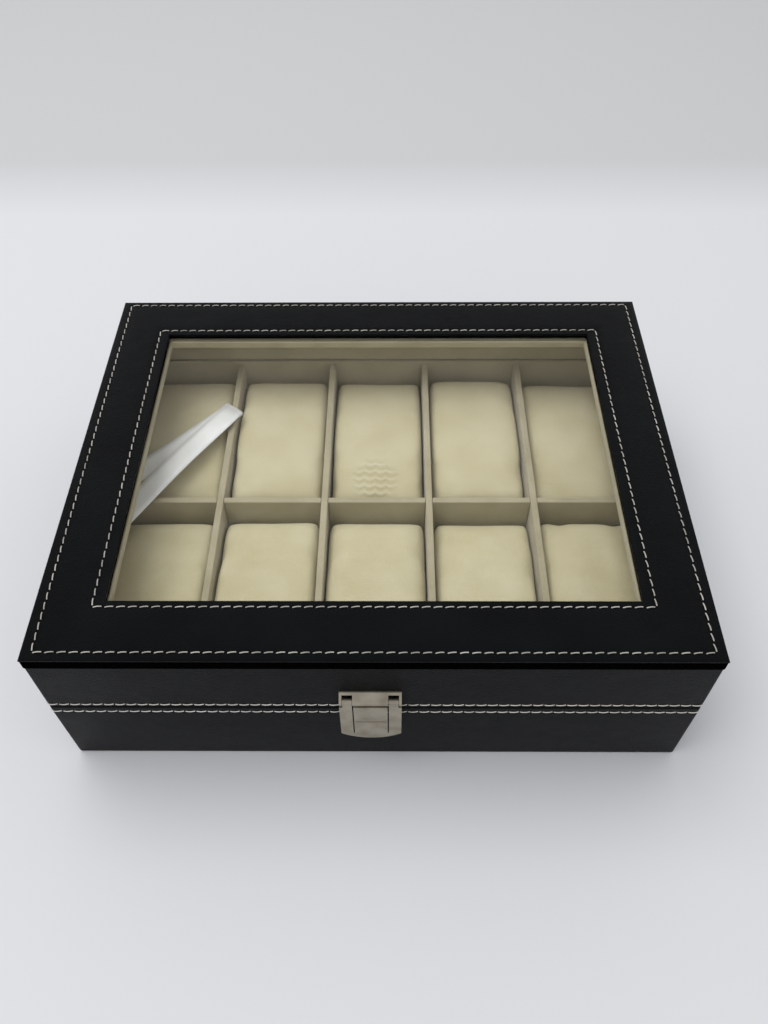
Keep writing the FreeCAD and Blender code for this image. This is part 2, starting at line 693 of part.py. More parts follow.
neck_in = latch_core + latch_play
neck_out = latch_core + latch_window - latch_play
neck_length = neck_out - neck_in
tongue_half = neck_in - latch_slit
flap_top = latch_axis_z - latch_knuckle - latch_clear
flap_corner = latch_bottom + latch_bow_rise
slit_foot = latch_bottom + latch_root
right_side = [
    (latch_half, flap_corner),
    (latch_half, flap_top),
    (neck_out, flap_top),
    (neck_out, latch_axis_z),
    (neck_in, latch_axis_z),
    (neck_in, slit_foot),
    (tongue_half, slit_foot),
    (tongue_half, flap_top),
]
left_side = [(-x, z) for x, z in reversed(right_side)]
flap_body = new_body("latch_flap_sheet")
flap_bow = bow_radius(latch_width, latch_bow_rise)
flap_corners = right_side + left_side
flap_sketch = outline(flap_body, "latch_flap_front", "XZ_Plane", flap_corners, {len(flap_corners) - 1: flap_bow})
pad(flap_body, "latch_flap_pad", flap_sketch, latch_sheet)
put(flap_body, latch_offset, latch_front + latch_sheet, middle)
hook_top = latch_axis_z - hook_drop
hook_y = (latch_front + latch_sheet / 2, latch_front + latch_sheet + hook_depth)
hook_half = tongue_half - hook_inset
hook_x = (latch_offset - hook_half, latch_offset + hook_half)
flap_whole = join(
    "latch_flap_whole",
    [
        flap_body,
        latch_ring("latch_flap_left_knuckle", -neck_out, neck_length, latch_knuckle),
        latch_ring("latch_flap_right_knuckle", neck_in, neck_length, latch_knuckle),
        box("latch_flap_hook", hook_x, hook_y, (hook_top - hook_height, hook_top)),
    ],
)
crease_half = tongue_half - latch_slit
crease_x = (latch_offset - crease_half, latch_offset + crease_half)
crease_y = (latch_front - latch_sheet, latch_front + crease_deep)
flap_cuts = [
    latch_ring("latch_flap_bore", -latch_width, latch_width * 2, latch_pin_radius + run_gap),
    box("latch_flap_crease", crease_x, crease_y, (hook_top, hook_top + crease_wide)),
]
piece(cut("latch_flap", flap_whole, flap_cuts), "latch_flap")
nails("latch_plate_nails", latch_nail_spots, False, latch_sheet)

catch_x = (latch_offset - catch_width / 2, latch_offset + catch_width / 2)
catch_tip = latch_front + latch_sheet + hook_depth + hook_gap
catch_whole = join(
    "latch_catch_whole",
    [
        box(
            "latch_catch_plate",
            catch_x,
            (latch_back - latch_sheet, latch_back),
            (catch_lip_bottom - catch_drop, catch_lip_bottom + latch_sheet),
        ),
        box(
            "latch_catch_lip",
            catch_x,
            (catch_tip, latch_back),
            (catch_lip_bottom, catch_lip_bottom + latch_sheet),
        ),
    ],
)
piece(cut("latch_catch", catch_whole, nail_holes("latch_catch_hole", catch_nail_spots, False)), "latch_catch")
nails("latch_catch_nails", catch_nail_spots, False, latch_sheet)

# Ribbon: two flat legs, one on the other, folded over once
wall_x = -room_x.number
fold_at = FreeCAD.Vector(wall_x + ribbon_reach.number, ribbon_fold_back.number, 0)
tray_end = FreeCAD.Vector(wall_x, ribbon_base_back.number, 0)
lid_end = FreeCAD.Vector(wall_x, -ribbon_lid_front.number, 0)
half_ribbon = ribbon_width.number / 2
thick = ribbon_thick.number
lower_z = lip_top.number
upper_z = lid_lining_bottom.number - thick
to_fold = (fold_at - tray_end).normalize()
to_lid = (lid_end - fold_at).normalize()
fold_line = (to_fold + to_lid).normalize()


def meet(point, along, origin, line):
    """Where the line through point meets the line through origin, both in the level plane."""
    cross = along.x * line.y - along.y * line.x
    gap = origin - point
    return point + along * ((gap.x * line.y - gap.y * line.x) / cross)


def leg(end, along, end_x, low):
    """One flat leg from the lining it is tucked into, at end_x, to the fold."""
    side = FreeCAD.Vector(-along.y, along.x, 0) * half_ribbon
    wall_point = FreeCAD.Vector(end_x, 0, 0)
    wall_line = FreeCAD.Vector(0, 1, 0)
    corners = [
        meet(end - side, along, wall_point, wall_line),
        meet(end - side, along, fold_at, fold_line),
        meet(end + side, along, fold_at, fold_line),
        meet(end + side, along, wall_point, wall_line),
    ]
    for corner in corners:
        corner.z = low
    face = Part.Face(Part.makePolygon(corners + corners[:1]))
    return corners, face.extrude(FreeCAD.Vector(0, 0, thick))


lower_corners, lower_shape = leg(tray_end, to_fold, -base_in_x.number, lower_z)
upper_corners, upper_shape = leg(lid_end, -to_lid, -lid_in_x.number, upper_z)
fold_start, fold_stop = sorted((lower_corners[1], lower_corners[2]), key=lambda p: p.x)
bend_mid = FreeCAD.Vector(fold_start.x, fold_start.y, (lower_z + upper_z + thick) / 2)
bend_line = fold_stop - fold_start
outward = FreeCAD.Vector(to_fold.x - to_lid.x, to_fold.y - to_lid.y, 0).normalize()
bend_outer = (upper_z + thick - lower_z) / 2
bend_inner = bend_outer - thick
bend = Part.makeCylinder(bend_outer, bend_line.Length, bend_mid, bend_line)
bend = bend.cut(Part.makeCylinder(bend_inner, bend_line.Length, bend_mid, bend_line))
keep_corners = [fold_start, fold_stop, fold_stop + outward * 3, fold_start + outward * 3]
for corner in keep_corners:
    corner.z = lower_z - 1
keep = Part.Face(Part.makePolygon(keep_corners + keep_corners[:1])).extrude(FreeCAD.Vector(0, 0, 5))
bend = bend.common(keep)
lower_leg = doc.addObject("Part::Feature", "ribbon_lower_leg")
lower_leg.Shape = lower_shape
piece(lower_leg, "ribbon_lower_leg")
upper_leg = doc.addObject("Part::Feature", "ribbon_upper_leg")
upper_leg.Shape = upper_shape.fuse(bend).removeSplitter()
piece(upper_leg, "ribbon_upper_leg")

doc.recompute()

# Every object must be sound before the pieces are written
bad = []
for thing in doc.Objects:
    if "Invalid" in thing.State or "Error" in thing.State:
        bad.append(f"{thing.Label}: {thing.State}")
for thing in pieces:
    if thing.Shape.isNull() or not thing.Shape.isValid():
        bad.append(f"{thing.Label}: shape not valid")
    elif not thing.Shape.Solids:
        bad.append(f"{thing.Label}: no solid")
if bad:
    raise RuntimeError("; ".join(bad))
os.makedirs("parts", exist_ok=True)
for thing in pieces:
    thing.Shape.exportStep(f"parts/{thing.Label}.step")
print(f"{len(pieces)} pieces written")
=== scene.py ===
# %% [markdown]
# # A watch box with a glass lid
# The box stands shut on a pale table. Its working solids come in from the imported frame, in metres, with the middle
# of the underside at the origin, the latch at -Y and the hinges at +Y. Each step below dresses one kind of piece:
# stitched leather, plated metal, velvet pillows, the satin ribbon. A new piece stands for a solid and rides with it.

import json
import math
import bmesh
import bpy
from mathutils import Matrix, Vector, noise


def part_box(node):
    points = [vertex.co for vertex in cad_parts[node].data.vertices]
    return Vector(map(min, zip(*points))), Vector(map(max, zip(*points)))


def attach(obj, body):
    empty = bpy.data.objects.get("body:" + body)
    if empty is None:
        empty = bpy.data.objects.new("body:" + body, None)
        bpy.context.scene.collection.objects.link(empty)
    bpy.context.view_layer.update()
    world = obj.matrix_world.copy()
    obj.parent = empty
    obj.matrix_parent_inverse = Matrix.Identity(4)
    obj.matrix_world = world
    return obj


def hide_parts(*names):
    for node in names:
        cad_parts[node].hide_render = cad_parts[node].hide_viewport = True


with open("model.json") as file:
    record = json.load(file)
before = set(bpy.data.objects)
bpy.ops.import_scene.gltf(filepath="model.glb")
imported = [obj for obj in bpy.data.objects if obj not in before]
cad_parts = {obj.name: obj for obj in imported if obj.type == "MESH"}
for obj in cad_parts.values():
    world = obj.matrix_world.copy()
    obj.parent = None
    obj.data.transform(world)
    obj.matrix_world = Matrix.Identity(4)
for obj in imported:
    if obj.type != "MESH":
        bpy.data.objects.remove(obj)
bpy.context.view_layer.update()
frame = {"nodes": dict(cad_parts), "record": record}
MM = 0.001

# %% [markdown]
# ## Helpers for finishes
# A colour is written as the sRGB hex that a paint chart would give, and Blender wants linear light, so one function
# converts it. One function adds a shader node with its settings and links. A pattern's scale is worked out from a
# size in millimetres, because a texture's scale counts repeats in a metre.

# %% Helpers for finishes
def srgb(hex_code):
    parts = [int(hex_code[i:i + 2], 16) / 255 for i in (1, 3, 5)]
    linear = [c / 12.92 if c <= 0.04045 else ((c + 0.055) / 1.055) ** 2.4 for c in parts]
    return (*linear, 1.0)


def per_mm(size):
    return 1000.0 / size


def plug(tree, node, inputs):
    """Gives each named input of a node its link or its plain value."""
    for socket, value in inputs.items():
        if isinstance(value, bpy.types.NodeSocket):
            tree.links.new(value, node.inputs[socket])
        else:
            node.inputs[socket].default_value = value


def add(tree, kind, inputs=None, **settings):
    made = tree.nodes.new(kind)
    for name, value in settings.items():
        setattr(made, name, value)
    plug(tree, made, inputs or {})
    return made


def new_material(name):
    material = bpy.data.materials.new(name)
    material.use_nodes = True
    tree = material.node_tree
    shader = tree.nodes["Principled BSDF"]
    place = add(tree, "ShaderNodeTexCoord").outputs["Object"]
    return material, tree, shader, place


def two_tone(tree, factor, dark, light, low=0.3, high=0.7):
    ramp = add(tree, "ShaderNodeValToRGB", {"Fac": factor})
    for stop, position, colour in zip(ramp.color_ramp.elements, (low, high), (dark, light)):
        stop.position = position
        stop.color = srgb(colour)
    return ramp.outputs["Color"]


print("mid grey #808080 is", round(srgb("#808080")[0], 3), "in linear light")

# %% [markdown]
# ## Helper for pieces
# Every new piece ends in the same way. Its bmesh becomes a mesh that is shaded smooth and breaks at sharp edges, it
# rides on the body that carries it, and it stands for the solids that it covers. So one function does all of that.

# %% Helper for pieces
def finish_piece(name, bm, material, body, nodes=(), smooth_angle=35):
    """Turns a bmesh into a finished piece: named, shaded, riding on its body and standing for its solids."""
    mesh = bpy.data.meshes.new(name)
    bm.to_mesh(mesh)
    bm.free()
    mesh.shade_smooth()
    mesh.set_sharp_from_angle(angle=math.radians(smooth_angle))
    mesh.materials.append(material)
    piece = bpy.data.objects.new(name, mesh)
    bpy.context.scene.collection.objects.link(piece)
    if body:
        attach(piece, body)
    if nodes:
        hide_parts(*nodes)
    return piece


print(len(frame["nodes"]), "solids to dress")

# %% [markdown]
# ## Black leather
# The box is covered in split leather with a pressed grain and a satin coat. Pressed grain is a net of small
# pebbles about a millimetre across, so cell edges of a Voronoi pattern make the creases. A finer noise breaks the
# shine, and a broad one gives the slight waves of a skin glued over board. Only the colour varies a little.

# %% Pressed leather
def pressed_leather():
    """Pressed split leather, sprayed satin: nearly black, with small broken lights along the grain."""
    material, tree, shader, place = new_material("satin_pressed_leather")
    wobble = add(tree, "ShaderNodeTexNoise", {"Vector": place, "Scale": per_mm(2.2), "Detail": 2.0})
    bent = add(tree, "ShaderNodeVectorMath", {0: wobble.outputs["Color"], "Scale": 0.6 * MM}, operation="SCALE")
    moved = add(tree, "ShaderNodeVectorMath", {0: place, 1: bent.outputs["Vector"]}, operation="ADD")
    pebbles = add(tree, "ShaderNodeTexVoronoi", {"Vector": moved.outputs["Vector"], "Scale": per_mm(1.0)},
                  feature="DISTANCE_TO_EDGE")
    crease = add(tree, "ShaderNodeMapRange", {"Value": pebbles.outputs["Distance"], "From Max": 0.22})
    # real pores are about 0.1 mm, too fine to show, so they are drawn at half a millimetre
    pores = add(tree, "ShaderNodeTexNoise", {"Vector": place, "Scale": per_mm(0.5), "Detail": 3.0})
    waves = add(tree, "ShaderNodeTexNoise", {"Vector": place, "Scale": per_mm(24.0), "Detail": 2.0})
    bump = add(tree, "ShaderNodeBump", {"Height": waves.outputs["Fac"], "Strength": 0.4, "Distance": 2.0 * MM})
    bump = add(tree, "ShaderNodeBump", {"Height": crease.outputs["Result"], "Strength": 0.55,
                                        "Distance": 0.16 * MM, "Normal": bump.outputs["Normal"]})
    bump = add(tree, "ShaderNodeBump", {"Height": pores.outputs["Fac"], "Strength": 0.15,
                                        "Distance": 0.06 * MM, "Normal": bump.outputs["Normal"]})
    gloss = add(tree, "ShaderNodeMapRange", {"Value": pores.outputs["Fac"], "To Min": 0.36, "To Max": 0.5})
    plug(tree, shader, {"Base Color": two_tone(tree, waves.outputs["Fac"], "#040506", "#080a0b"),
                        "Normal": bump.outputs["Normal"], "Roughness": gloss.outputs["Result"],
                        "Specular IOR Level": 0.08})
    return material


leather = pressed_leather()
print(leather.name, "made")

# %% [markdown]
# ## Cut leather, felt and board
# Where leather is cut, and on felt and fibreboard, loose fibres face every way and swallow the light. The cut edge is
# also painted near black as painted shade for the shadow under the top panel. One noise of the fibres' size gives both
# the tone and the roughness to the touch, so one function makes all three.

# %% Cut leather edge, felt and fibreboard
def matt_fibre(name, dark, light, grit_mm, depth_mm, roughness, shine=0.15):
    """Loose fibres, or painted shade on a cut edge or inside the latch's hood: a flat dark tone with hardly any shine.
    """
    material, tree, shader, place = new_material(name)
    fibre = add(tree, "ShaderNodeTexNoise", {"Vector": place, "Scale": per_mm(grit_mm), "Detail": 4.0})
    bump = add(tree, "ShaderNodeBump", {"Height": fibre.outputs["Fac"], "Strength": 0.6, "Distance": depth_mm * MM})
    plug(tree, shader, {"Base Color": two_tone(tree, fibre.outputs["Fac"], dark, light),
                        "Normal": bump.outputs["Normal"], "Roughness": roughness, "Specular IOR Level": shine})
    return material


# the grit of all three is drawn a few times coarser than real fibres, which are too fine to show
# the cut edge is near black with no shine: partly cut leather and partly painted shade for the shadow under the top
# panel
cut_edge_painted_shade = matt_fibre("cut_leather_edge_painted_shade", "#020202", "#060606", grit_mm=0.6, depth_mm=0.1, roughness=0.8, shine=0.0)
felt = matt_fibre("pressed_wool_felt", "#0e0e10", "#202022", grit_mm=0.8, depth_mm=0.25, roughness=0.95)
fibreboard = matt_fibre("black_stained_fibreboard", "#151413", "#232120", grit_mm=1.5, depth_mm=0.15, roughness=0.85)
print(cut_edge_painted_shade.name, felt.name, fibreboard.name, "made")

# %% [markdown]
# ## Velvet
# The linings and pillows are short-pile velvet: matt from above and paler at a grazing angle, which the sheen lobe
# gives. Pile is brushed in patches, so its tone drifts over a centimetre or two. On one pillow a strap has pressed
# rows of small scallops into the pile. Those could be sculpted, but they are so shallow that a pattern will do.

# %% Velvet
scallop_wide, scallop_arch, scallop_rows = 5.0, 1.7, 3.8  # width in mm, arch in radians, distance of rows in mm


def strap_marks(tree, place, middle, reach):
    """Rows of small scallops pressed into the pile by a watch strap, fading out at a distance from the middle."""
    spot = add(tree, "ShaderNodeVectorMath", {0: place, 1: middle}, operation="SUBTRACT")
    axes = add(tree, "ShaderNodeSeparateXYZ", {"Vector": spot.outputs["Vector"]})
    arch = add(tree, "ShaderNodeMath", {0: axes.outputs["X"], 1: math.pi * per_mm(scallop_wide)}, operation="MULTIPLY")
    arch = add(tree, "ShaderNodeMath", {0: arch.outputs["Value"]}, operation="SINE")
    arch = add(tree, "ShaderNodeMath", {0: arch.outputs["Value"]}, operation="ABSOLUTE")
    arch = add(tree, "ShaderNodeMath", {0: arch.outputs["Value"], 1: scallop_arch}, operation="MULTIPLY")
    rows = add(tree, "ShaderNodeMath", {0: axes.outputs["Y"], 1: 2 * math.pi * per_mm(scallop_rows),
                                        2: arch.outputs["Value"]}, operation="MULTIPLY_ADD")
    rows = add(tree, "ShaderNodeMath", {0: rows.outputs["Value"]}, operation="SINE")
    away = add(tree, "ShaderNodeVectorMath", {0: spot.outputs["Vector"], 1: reach}, operation="DIVIDE")
    away = add(tree, "ShaderNodeVectorMath", {0: away.outputs["Vector"]}, operation="LENGTH")
    fade = add(tree, "ShaderNodeMapRange", {"Value": away.outputs["Value"], "From Min": 0.55, "From Max": 1.0,
                                            "To Min": 0.5, "To Max": 0.0}, interpolation_type="SMOOTHSTEP")
    return add(tree, "ShaderNodeMath", {0: rows.outputs["Value"], 1: fade.outputs["Result"]},
               operation="MULTIPLY").outputs["Value"]


def velvet(name, dark, light, sheen, marks_at=None):
    """Short woven pile: no shine from above, a pale bloom at grazing angles, soft patches where it was brushed."""
    material, tree, shader, place = new_material(name)
    patches = add(tree, "ShaderNodeTexNoise", {"Vector": place, "Scale": per_mm(16.0), "Detail": 3.0})
    # real pile is about 0.1 mm thick, too fine to show, so it is drawn at 0.7 mm
    pile = add(tree, "ShaderNodeTexNoise", {"Vector": place, "Scale": per_mm(0.7), "Detail": 3.0})
    tone = add(tree, "ShaderNodeMath", {0: patches.outputs["Fac"], 1: 0.65}, operation="MULTIPLY")
    tone = add(tree, "ShaderNodeMath", {0: pile.outputs["Fac"], 1: 0.35, 2: tone.outputs["Value"]},
               operation="MULTIPLY_ADD")
    bump = add(tree, "ShaderNodeBump", {"Height": pile.outputs["Fac"], "Strength": 0.35, "Distance": 0.2 * MM})
    if marks_at:
        marks = strap_marks(tree, place, *marks_at)
        tone = add(tree, "ShaderNodeMath", {0: marks, 1: 0.35, 2: tone.outputs["Value"]}, operation="MULTIPLY_ADD")
        bump = add(tree, "ShaderNodeBump", {"Height": marks, "Strength": 0.7, "Distance": 0.8 * MM,
                                            "Normal": bump.outputs["Normal"]})
    plug(tree, shader, {"Base Color": two_tone(tree, tone.outputs["Value"], dark, light),
                        "Normal": bump.outputs["Normal"], "Roughness": 0.92, "Specular IOR Level": 0.2,
                        "Sheen Weight": sheen, "Sheen Roughness": 0.45})
    return material


cream_velvet = velvet("cream_pillow_velvet", "#c0b792", "#d1caab", sheen=0.3)
marks_at = (Vector((-1.0, 17.0, 42.0)) * MM, Vector((13.0, 14.0, 12.0)) * MM)
crushed_velvet = velvet("strap_marked_velvet", "#c0b792", "#d1caab", sheen=0.3, marks_at=marks_at)
beige_velvet = velvet("beige_lining_velvet", "#a29a80", "#b9b197", sheen=0.25)
print(cream_velvet.name, crushed_velvet.name, beige_velvet.name, "made")

# %% [markdown]
# ## Satin and thread
# The ribbon is a satin weave, whose long floating threads run along it, so its pattern follows a UV map laid along the
# ribbon. The stitching is a waxed polyester thread: a fine twist, with the thread on the sides painted paler than on
# the top panel, painted light for the weaker light that falls on the sides of the box.

# %% Satin ribbon and thread
def satin_weave():
    """Woven polyester satin: nearly white, with a soft gloss that runs along the ribbon."""
    material, tree, shader, place = new_material("satin_weave_ribbon")
    along = add(tree, "ShaderNodeUVMap", uv_map="ribbon").outputs["UV"]
    # real threads are about 0.1 mm apart, too fine to show, so they are drawn at 0.592 mm; a Wave texture of scale 1
    # makes 20 radians in a metre
    wave_scale = per_mm(0.592) * 2 * math.pi / 20
    floats = add(tree, "ShaderNodeTexWave", {"Vector": along, "Scale": wave_scale, "Distortion": 1.5, "Detail": 1.0},
                 bands_direction="X")
    soft = add(tree, "ShaderNodeTexNoise", {"Vector": place, "Scale": per_mm(14.0)})
    bump = add(tree, "ShaderNodeBump", {"Height": floats.outputs["Fac"], "Strength": 0.12, "Distance": 0.1 * MM})
    plug(tree, shader, {"Base Color": two_tone(tree, soft.outputs["Fac"], "#e4e6e3", "#f4f5f2"),
                        "Normal": bump.outputs["Normal"], "Roughness": 0.38, "Sheen Weight": 0.3})
    return material


def waxed_thread(name, dark, light):
    """Twisted polyester with a thin wax: an off-white cord with a faint gloss, uneven where it is soiled."""
    material, tree, shader, place = new_material(name)
    twist = add(tree, "ShaderNodeTexNoise", {"Vector": place, "Scale": per_mm(0.45), "Detail": 2.0})
    grime = add(tree, "ShaderNodeTexNoise", {"Vector": place, "Scale": per_mm(9.0)})
    bump = add(tree, "ShaderNodeBump", {"Height": twist.outputs["Fac"], "Strength": 0.5, "Distance": 0.2 * MM})
    plug(tree, shader, {"Base Color": two_tone(tree, grime.outputs["Fac"], dark, light),
                        "Normal": bump.outputs["Normal"], "Roughness": 0.55})
    return material


satin = satin_weave()
# two copies of one thread: the side one is painted paler, painted light for the weaker light on the sides of the box
top_thread = waxed_thread("polyester_thread_painted_darker_top", "#8f8b84", "#bdb9b1")
side_thread = waxed_thread("polyester_thread_painted_lighter_side", "#cfcbc3", "#f0ece4")
print(satin.name, top_thread.name, side_thread.name, "made")

# %% [markdown]
# ## Plated metal and glass
# Latch and hinges are pressed steel sheet with a dull nickel plate: a warm grey mirror blurred by handling, with
# fine rubbing marks across it and cloudy patches where the plate has worn. Inside the latch's hood the plate is painted
# near black, painted shade for the shadow behind the hood. The pane is plain float glass; a low alpha lets light in to
# the pillows as real glass does, with no slow light paths.

# %% Nickel and glass
def nickel_plate():
    """Dull nickel on pressed steel: a warm grey metal with broad, blurred lights and no sharp mirror image."""
    material, tree, shader, place = new_material("dull_nickel_plate")
    across = add(tree, "ShaderNodeMapping", {"Vector": place, "Scale": (0.12, 1.0, 1.0)})
    # real rubbing marks are hair-fine, too fine to show, so they are drawn half a millimetre wide
    rubs = add(tree, "ShaderNodeTexNoise", {"Vector": across.outputs["Vector"], "Scale": per_mm(0.5), "Detail": 3.0})
    cloud = add(tree, "ShaderNodeTexNoise", {"Vector": place, "Scale": per_mm(7.0), "Detail": 4.0})
    rough = add(tree, "ShaderNodeMapRange", {"Value": cloud.outputs["Fac"], "To Min": 0.58, "To Max": 0.46})
    bump = add(tree, "ShaderNodeBump", {"Height": rubs.outputs["Fac"], "Strength": 0.2, "Distance": 0.04 * MM})
    plug(tree, shader, {"Base Color": two_tone(tree, cloud.outputs["Fac"], "#9d9585", "#b2aa9b", 0.3, 0.6),
                        "Normal": bump.outputs["Normal"], "Roughness": rough.outputs["Result"], "Metallic": 1.0})
    return material


def float_glass():
    """Float glass: clear, with a faint grey-green cast and a thin haze of dust in its reflections."""
    material, tree, shader, place = new_material("clear_float_glass")
    dust = add(tree, "ShaderNodeTexNoise", {"Vector": place, "Scale": per_mm(30.0), "Detail": 5.0})
    haze = add(tree, "ShaderNodeMapRange", {"Value": dust.outputs["Fac"], "To Min": 0.01, "To Max": 0.05})
    plug(tree, shader, {"Base Color": srgb("#eef0ea"), "Roughness": haze.outputs["Result"],
                        "Transmission Weight": 1.0, "IOR": 1.5, "Alpha": 0.03})
    return material


nickel = nickel_plate()
# near-black steel inside the latch's hood, painted shade for the shadow behind the hood
hood_painted_shade = matt_fibre("hood_painted_shade_steel", "#0b0a09", "#161412", grit_mm=0.4, depth_mm=0.03, roughness=0.7)
glass = float_glass()
print(nickel.name, hood_painted_shade.name, glass.name, "made")

# %% [markdown]
# ## The latch's windows and curls
# The latch plate has a sloping hood with two windows, where the flap's curls go round the pin. On the real one the
# curls are rolled tight and each window reaches nearly to the top of the hood, so it shows as a dark slot. The solids
# keep more room round the pin. Modelling the latch again would lose their fit, so a few vertices of a copy are moved,
# and the plate behind the windows gets painted shade for the shadow there.

# %% Latch windows and curls
latch_joint = next(j for j in frame["record"]["behaviour"]["joints"] if j["name"] == "latch_flap_hinge")
pin_x, pin_y, pin_z = latch_joint["pos_m"]
latch_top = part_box("latch_plate")[1].z
curl_below_pin, curl_bore, curl_tightness = 1.2 * MM, 1.3 * MM, 0.7
window_below_top, window_slack = 1.1 * MM, 0.05 * MM
window_rise = Vector((0, 0.5, 0.4)) * MM
shade_below_pin, shade_behind_pin = 1.9 * MM, 1.8 * MM


def curl_tighter(bm):
    """The flap's two curls are rolled thin round the pin, so the dark windows of the hood show above them."""
    outside = [v for v in bm.verts if v.co.z > pin_z - curl_below_pin
               and math.hypot(v.co.y - pin_y, v.co.z - pin_z) > curl_bore]
    bmesh.ops.scale(bm, vec=(1, curl_tightness, curl_tightness),
                    space=Matrix.Translation((-pin_x, -pin_y, -pin_z)), verts=outside)


def raise_windows(bm):
    """The windows of the hood reach up its slope, and the plate behind them is near black, painted shade for the shadow
    there.
    """
    tops = [v for v in bm.verts if abs(v.co.z - latch_top + window_below_top) < window_slack and v.co.y < pin_y + MM]
    bmesh.ops.translate(bm, vec=window_rise, verts=tops)
    bmesh.ops.bisect_plane(bm, geom=bm.verts[:] + bm.edges[:] + bm.faces[:], dist=0.0001 * MM,
                           plane_co=(0, 0, pin_z - shade_below_pin), plane_no=(0, 0, 1))
    # faces behind the windows take the painted shade
    for face in bm.faces:
        middle = face.calc_center_median()
        inside = middle.z > pin_z - shade_below_pin and middle.y > pin_y + shade_behind_pin
        face.material_index = 1 if inside and face.normal.y < -0.9 else 0


reshaped = {"latch_flap": curl_tighter, "latch_plate": raise_windows}
print("latch pin at", pin_y, pin_z, "and top of the hood at", round(latch_top, 4), "m")

# %% [markdown]
# ## Solids that keep their shape
# Cards, dividers and metal sheets have the right form already; what they lack is the soft edge that cloth or
# plating gives. A copy of each solid is merged into one skin and gets a narrow bevel, so its edges catch light. The
# boards, the felt and the pane need no more than a material.

# %% Dressed copies of cards, dividers and metal
def dressed(node, bevel_mm, material, body):
    bm = bmesh.new()
    bm.from_mesh(frame["nodes"][node].data)
    bmesh.ops.remove_doubles(bm, verts=bm.verts[:], dist=0.01 * MM)
    bmesh.ops.dissolve_limit(bm, angle_limit=math.radians(1), verts=bm.verts[:], edges=bm.edges[:])
    if node in reshaped:
        reshaped[node](bm)
    piece = finish_piece("dressed_" + node, bm, material, body, [node])
    # the second slot is the painted shade behind the hood's windows
    if node == "latch_plate":
        piece.data.materials.append(hood_painted_shade)
    soft = piece.modifiers.new("soft_edge", "BEVEL")
    soft.width = bevel_mm * MM
    soft.segments = 3
    soft.limit_method = "ANGLE"
    soft.angle_limit = math.radians(40)
    soft.use_clamp_overlap = True


body_of = {n: b for b, ns in frame["record"]["behaviour"]["bodies"].items() for n in ns}
for node in sorted(body_of):
    body = body_of[node]
    if node.startswith(("hinge_", "latch_")):
        dressed(node, 0.15, nickel, body)
    elif node.startswith("divider_"):
        dressed(node, 0.45, beige_velvet, body)
    elif "lining" in node or node.startswith("lid_rail_"):
        dressed(node, 0.6, beige_velvet, body)
    elif node == "lid_top_backing":
        # the backing ply is near black, partly its own colour and partly painted shade under the panel's edge
        dressed(node, 0.3, cut_edge_painted_shade, body)
plain = {"glass_pane": glass, "base_bottom_felt": felt}
for node, solid in frame["nodes"].items():
    if node in plain or node.endswith("_wall") or node == "base_bottom_board":
        solid.data.materials.clear()
        solid.data.materials.append(plain.get(node, fibreboard))
print("dressed cards, dividers and metal")

# %% [markdown]
# ## The profile of the top panel
# The lid's frame is one sheet of leather with its edge turned and sewn near the outside and near the window. The
# inset operator draws such a profile well: each inset steps inwards by a width and up or down by a depth, so a short
# list of steps gives the rounded rim, the pulled-in seam, the slightly full middle and the inner seam.

# %% Steps of the top panel
panel_low, panel_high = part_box("lid_top_leather")
panel_half = Vector((panel_high.x, panel_high.y))
border = Vector((26.0, 25.0)) * MM
window_half = panel_half - border
seam_from_edge = Vector((4.2, 3.2)) * MM
seam_from_window = Vector((4.4, 2.8)) * MM
rim_height = 0.45 * MM
rim = [(0.12, 0.33), (0.28, 0.26), (0.5, 0.16), (1.2, 0.10)]
groove = [(0.35, -0.10), (0.25, -0.12), (0.25, 0.12), (0.35, 0.10)]
groove_half = Vector((0.6, 0.6)) * MM
rising = [(0.8, 0.16), (1.2, 0.14), (1.8, 0.09), (2.4, 0.04)]
level_middle = [(2.0, 0.0)]
falling = [(2.0, -0.08), (1.2, -0.16), (0.8, -0.19)]
falling_width = Vector((4.0, 4.0)) * MM
inner_flat = [(1.0, 0.0)]
inner_rim = [(0.22, -0.06), (0.14, -0.12), (0.09, -0.2)]
inner_rim_width = Vector((0.45, 0.45)) * MM
print("window", round(2 * window_half.x / MM, 1), "by", round(2 * window_half.y / MM, 1), "mm")

# %% [markdown]
# ## The stitched top panel
# A single face the size of the panel is raised by the rim's height and then inset step by step towards the window.
# Insets keep one width on all four sides, while the border is wider at the ends, so the face is fitted to its true
# corner at each seam. At last the middle is cut out and its edge is pulled down to the backing.

# %% Top panel
def inset_steps(bm, face, steps):
    for width, depth in steps:
        bmesh.ops.inset_region(bm, faces=[face], thickness=width * MM, depth=depth * MM, use_even_offset=True)


def fit_corner(bm, face, half):
    """Sizes a rectangular face about the origin so that its corner lies at half."""
    corner = max(face.verts, key=lambda v: v.co.x + v.co.y).co
    bmesh.ops.scale(bm, vec=(half.x / corner.x, half.y / corner.y, 1.0), verts=face.verts[:])


def only(kind, geom):
    return [g for g in geom if isinstance(g, kind)]


